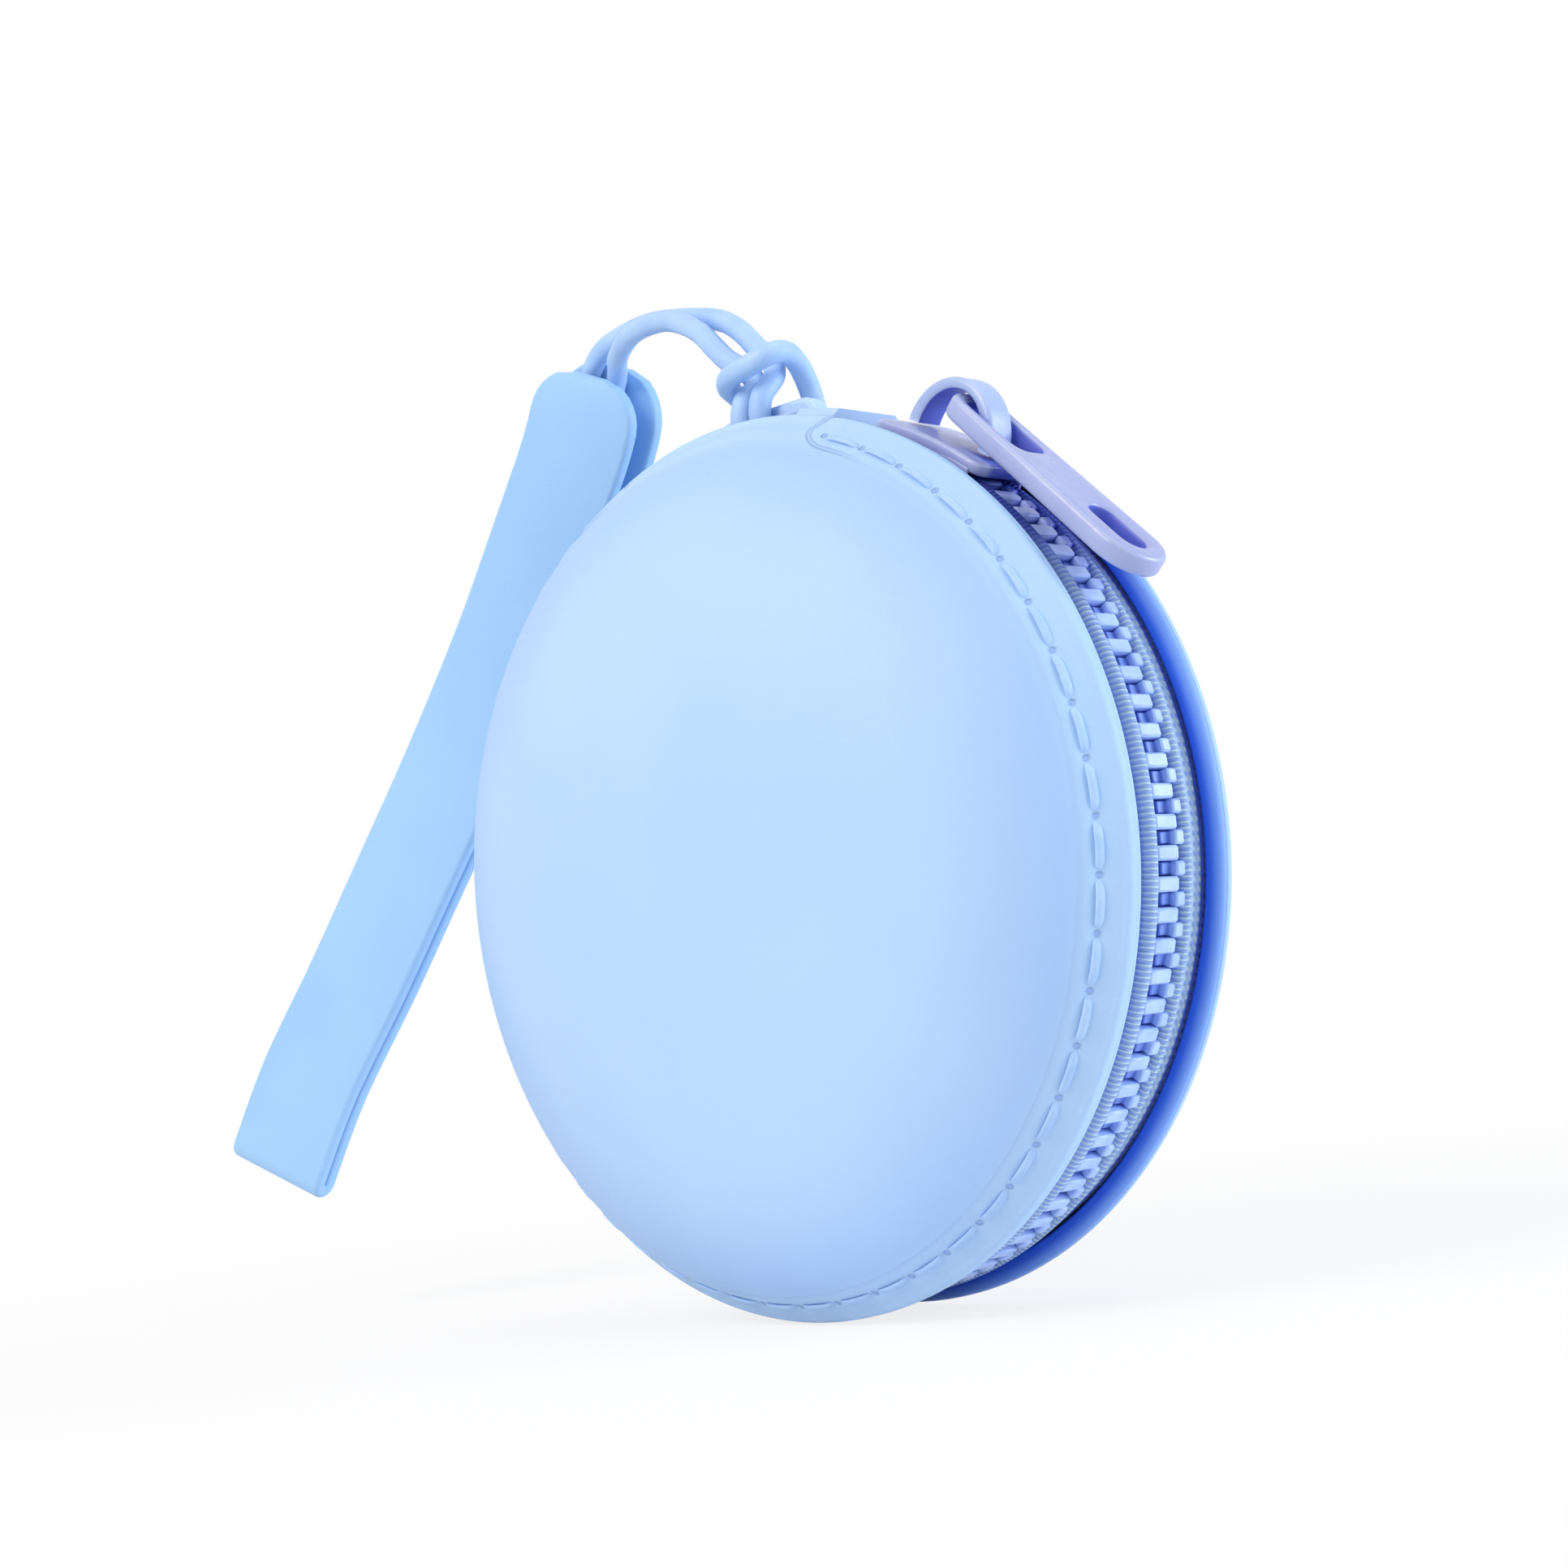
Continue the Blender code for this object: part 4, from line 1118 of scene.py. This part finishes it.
def crown_piece():
    bm = loft([crown_outline(step) for step in range(crown_steps + 1)])
    bmesh.ops.rotate(bm, verts=bm.verts, cent=(0.0, 0.0, 0.0),
                     matrix=Matrix.Rotation(math.radians(90.0 - slider_deg), 3, "Y"))
    bmesh.ops.recalc_face_normals(bm, faces=bm.faces)
    centre = polar(math.sqrt(crown_seat ** 2 - crown_half ** 2), slider_deg, 0.0)
    # Faces that look inwards take the second material, the painted shade.
    for face in bm.faces:
        inward = centre - face.calc_center_median()
        inward.y = 0.0
        face.material_index = int(face.normal.dot(inward.normalized()) > 0.6)
    return bm


crown = hand_over(crown_piece(), "crown_bail", "slider", crown_highlit_finish, "slider_crown", 40.0)
crown.data.materials.append(inner_shade_finish)

# %% [markdown]
# The puller is a flat tab with a window at its head, which the crown's leg passes through, and an
# oval hole near its tip. Its outline and its two holes are three closed loops of edges. Filling
# them together leaves the holes open, and pushing the filled face up makes the tab, whose rims then
# get a bevel.

# %% Puller
pivot_radius = 0.0462
puller_long = 0.0260
puller_half = 0.0037
puller_thick = 0.0020
puller_level = 0.04486
puller_rounding = 0.00045
head_near = -0.0007
head_half = 0.0029
head_corner = 0.0022
shoulder = 0.0052
window_near = 0.0007
window_far = 0.00905
window_half = 0.0021
window_corner = 0.0016
eye_near = 0.0174
eye_far = 0.0240
eye_half = 0.0015
puller_lean = math.acos(puller_level / pivot_radius)
puller_turn = math.radians(slider_deg - 90.0) - puller_lean
puller_along = Vector((math.cos(puller_turn), 0.0, math.sin(puller_turn)))
puller_out = Vector((-puller_along.z, 0.0, puller_along.x))
puller_pivot = polar(pivot_radius, slider_deg, 0.0)


def half_circle(centre, half, start_deg, steps):
    turns = in_radians(*(start_deg + 180.0 * step / steps for step in range(steps + 1)))
    return [Vector((centre + half * math.cos(turn), half * math.sin(turn))) for turn in turns]


def puller_loops():
    """Outline, window and eye, the oval hole, drawn flat with x from the pivot to the tip."""
    tip = half_circle(puller_long - puller_half, puller_half, -90.0, 20)
    head = rounded_outline([(shoulder, puller_half), (head_near, head_half),
                            (head_near, -head_half), (shoulder, -puller_half)], head_corner, 8)
    two_arcs = head[9:27]
    window = rounded_outline([(window_near, -window_half), (window_far, -window_half),
                              (window_far, window_half), (window_near, window_half)], window_corner)
    eye = (half_circle(eye_far - eye_half, eye_half, -90.0, 10)
           + half_circle(eye_near + eye_half, eye_half, 90.0, 10))
    return tip + two_arcs, window, eye


def puller_piece():
    bm = bmesh.new()
    edges = []
    for loop in puller_loops():
        verts = [bm.verts.new((point.x, point.y, 0.0)) for point in loop]
        edges += [bm.edges.new((verts[index - 1], verts[index])) for index in range(len(verts))]
    bmesh.ops.triangle_fill(bm, use_beauty=True, use_dissolve=False, edges=edges, normal=(0.0, 0.0, 1.0))
    push_up(bm, bm.faces[:], puller_thick)
    bmesh.ops.translate(bm, verts=bm.verts, vec=(0.0, 0.0, -puller_thick / 2))
    bmesh.ops.recalc_face_normals(bm, faces=bm.faces)
    round_edges(bm, [edge for edge in bm.edges
                     if len(edge.link_faces) == 2 and edge.calc_face_angle() > math.radians(60)
                     and is_level(edge)], puller_rounding)
    # The walls of the window and the eye take the second material, the painted shade.
    for face in bm.faces:
        spot = face.calc_center_median()
        in_opening = abs(spot.y) < 0.0024 and (0.0 < spot.x < 0.0093 or 0.0171 < spot.x < 0.0243)
        face.material_index = int(in_opening and abs(face.normal.z) < 0.3)
    for vert in bm.verts:
        along, across, out = vert.co
        vert.co = puller_pivot + puller_along * along + Vector((0.0, across, 0.0)) + puller_out * out
    return bm


puller = hand_over(puller_piece(), "pull_tab", "puller", metal_finish, "puller", 35.0)
puller.data.materials.append(inner_shade_finish)

# %% [markdown]
# The hinge web, the lug and the two end tabs are moulded with the case. Their solids already have
# the right shape, so they keep it and only get the silicone finish.

# %% Web, lug and tabs
wear(("hinge_web", "strap_lug", "zip_end_tab_start", "zip_end_tab_end"), web_finish)

# %% [markdown]
# The strap is one flat silicone band, folded double at its lower end. The cord lies between the two
# layers at the top, so they part there and close below. The band is lofted: a flat section with
# rounded edges is extruded row by row, and every row is set to its place on the middle line, to one
# side of it on the way down, round the fold, and to the other side on the way up.

# %% Line of the strap
strap_long = 0.1000
strap_wide = 0.0140
layer = 0.0016
fold_gap = 0.00015
fold_steps = 12
strap_rounding = 0.0006
strap_corner = 0.0050
strap_grip = 0.0060
open_length = 0.0300
cord_room = 0.0006
back_rise = 0.0010
strap_across = Vector((0.88, 0.20, -0.43)).normalized()
strap_shares = [(0.0, 0.0, 0.0), (-0.044, 0.004, -0.076), (-0.146, 0.001, -0.200), (-0.229, -0.004, -0.297),
                (-0.313, -0.012, -0.398), (-0.389, -0.032, -0.503), (-0.456, -0.059, -0.609),
                (-0.529, -0.087, -0.717), (-0.578, -0.108, -0.812)]
cord_ends = (Vector(cord_path[0]) + Vector(cord_path[-1])) / 2
strap_up = (Vector(strap_shares[0]) - Vector(strap_shares[1])).normalized()
strap_top = cord_ends + strap_up * strap_grip
strap_middle = smooth_line([strap_top + Vector(share) * strap_long for share in strap_shares], 9)
strap_run = [0.0]
for near, far in zip(strap_middle, strap_middle[1:]):
    strap_run.append(strap_run[-1] + (far - near).length)
print("strap hangs", round(strap_run[-1] * 1000, 1), "mm from fold to top")


def layer_apart(run):
    at_cord = cord_width + cord_room + layer
    closed = fold_gap + layer
    t = min(1.0, max(0.0, (run - 1.5 * strap_grip) / open_length))
    return at_cord + (closed - at_cord) * (3 * t * t - 2 * t * t * t)


def layer_half(run):
    if run >= strap_corner:
        return strap_wide / 2
    rest = strap_corner - run
    return strap_wide / 2 - strap_corner + math.sqrt(max(0.0, strap_corner ** 2 - rest ** 2))


# %% Strap
def strap_rows():
    """Middle, outward direction and half width of each row: down the front, round, up the back."""
    downs = []
    fronts = []
    last = len(strap_middle) - 1
    for index in range(last + 1):
        down = (strap_middle[min(index + 1, last)] - strap_middle[max(index - 1, 0)]).normalized()
        front = strap_across.cross(down).normalized()
        downs.append(down)
        fronts.append(-front if front.y > 0.0 else front)

    def row_at(index, front, rise=0.0):
        aside = front * (layer_apart(strap_run[index]) / 2)
        return strap_middle[index] + aside - downs[index] * rise, front, layer_half(strap_run[index])

    rows = [row_at(index, fronts[index]) for index in range(last + 1)]
    bend = layer_apart(strap_run[-1]) / 2
    for step in range(1, fold_steps):
        turn = math.pi * step / fold_steps
        aim = fronts[-1] * math.cos(turn) + downs[-1] * math.sin(turn)
        rows.append((strap_middle[-1] + aim * bend, aim, strap_wide / 2))
    for index in range(last, -1, -1):
        rise = back_rise * max(0.0, 1.0 - strap_run[index] / strap_corner)
        rows.append(row_at(index, -fronts[index], rise))
    return rows


def row_outline(row):
    centre, aim, half = row
    return [centre + strap_across * point.x + aim * point.y
            for point in rounded_bar(2 * half, layer, strap_rounding)]


strap_bm = loft([row_outline(row) for row in strap_rows()])
hand_over(strap_bm, "strap_band", "strap", strap_finish, "wrist_strap", 50.0)
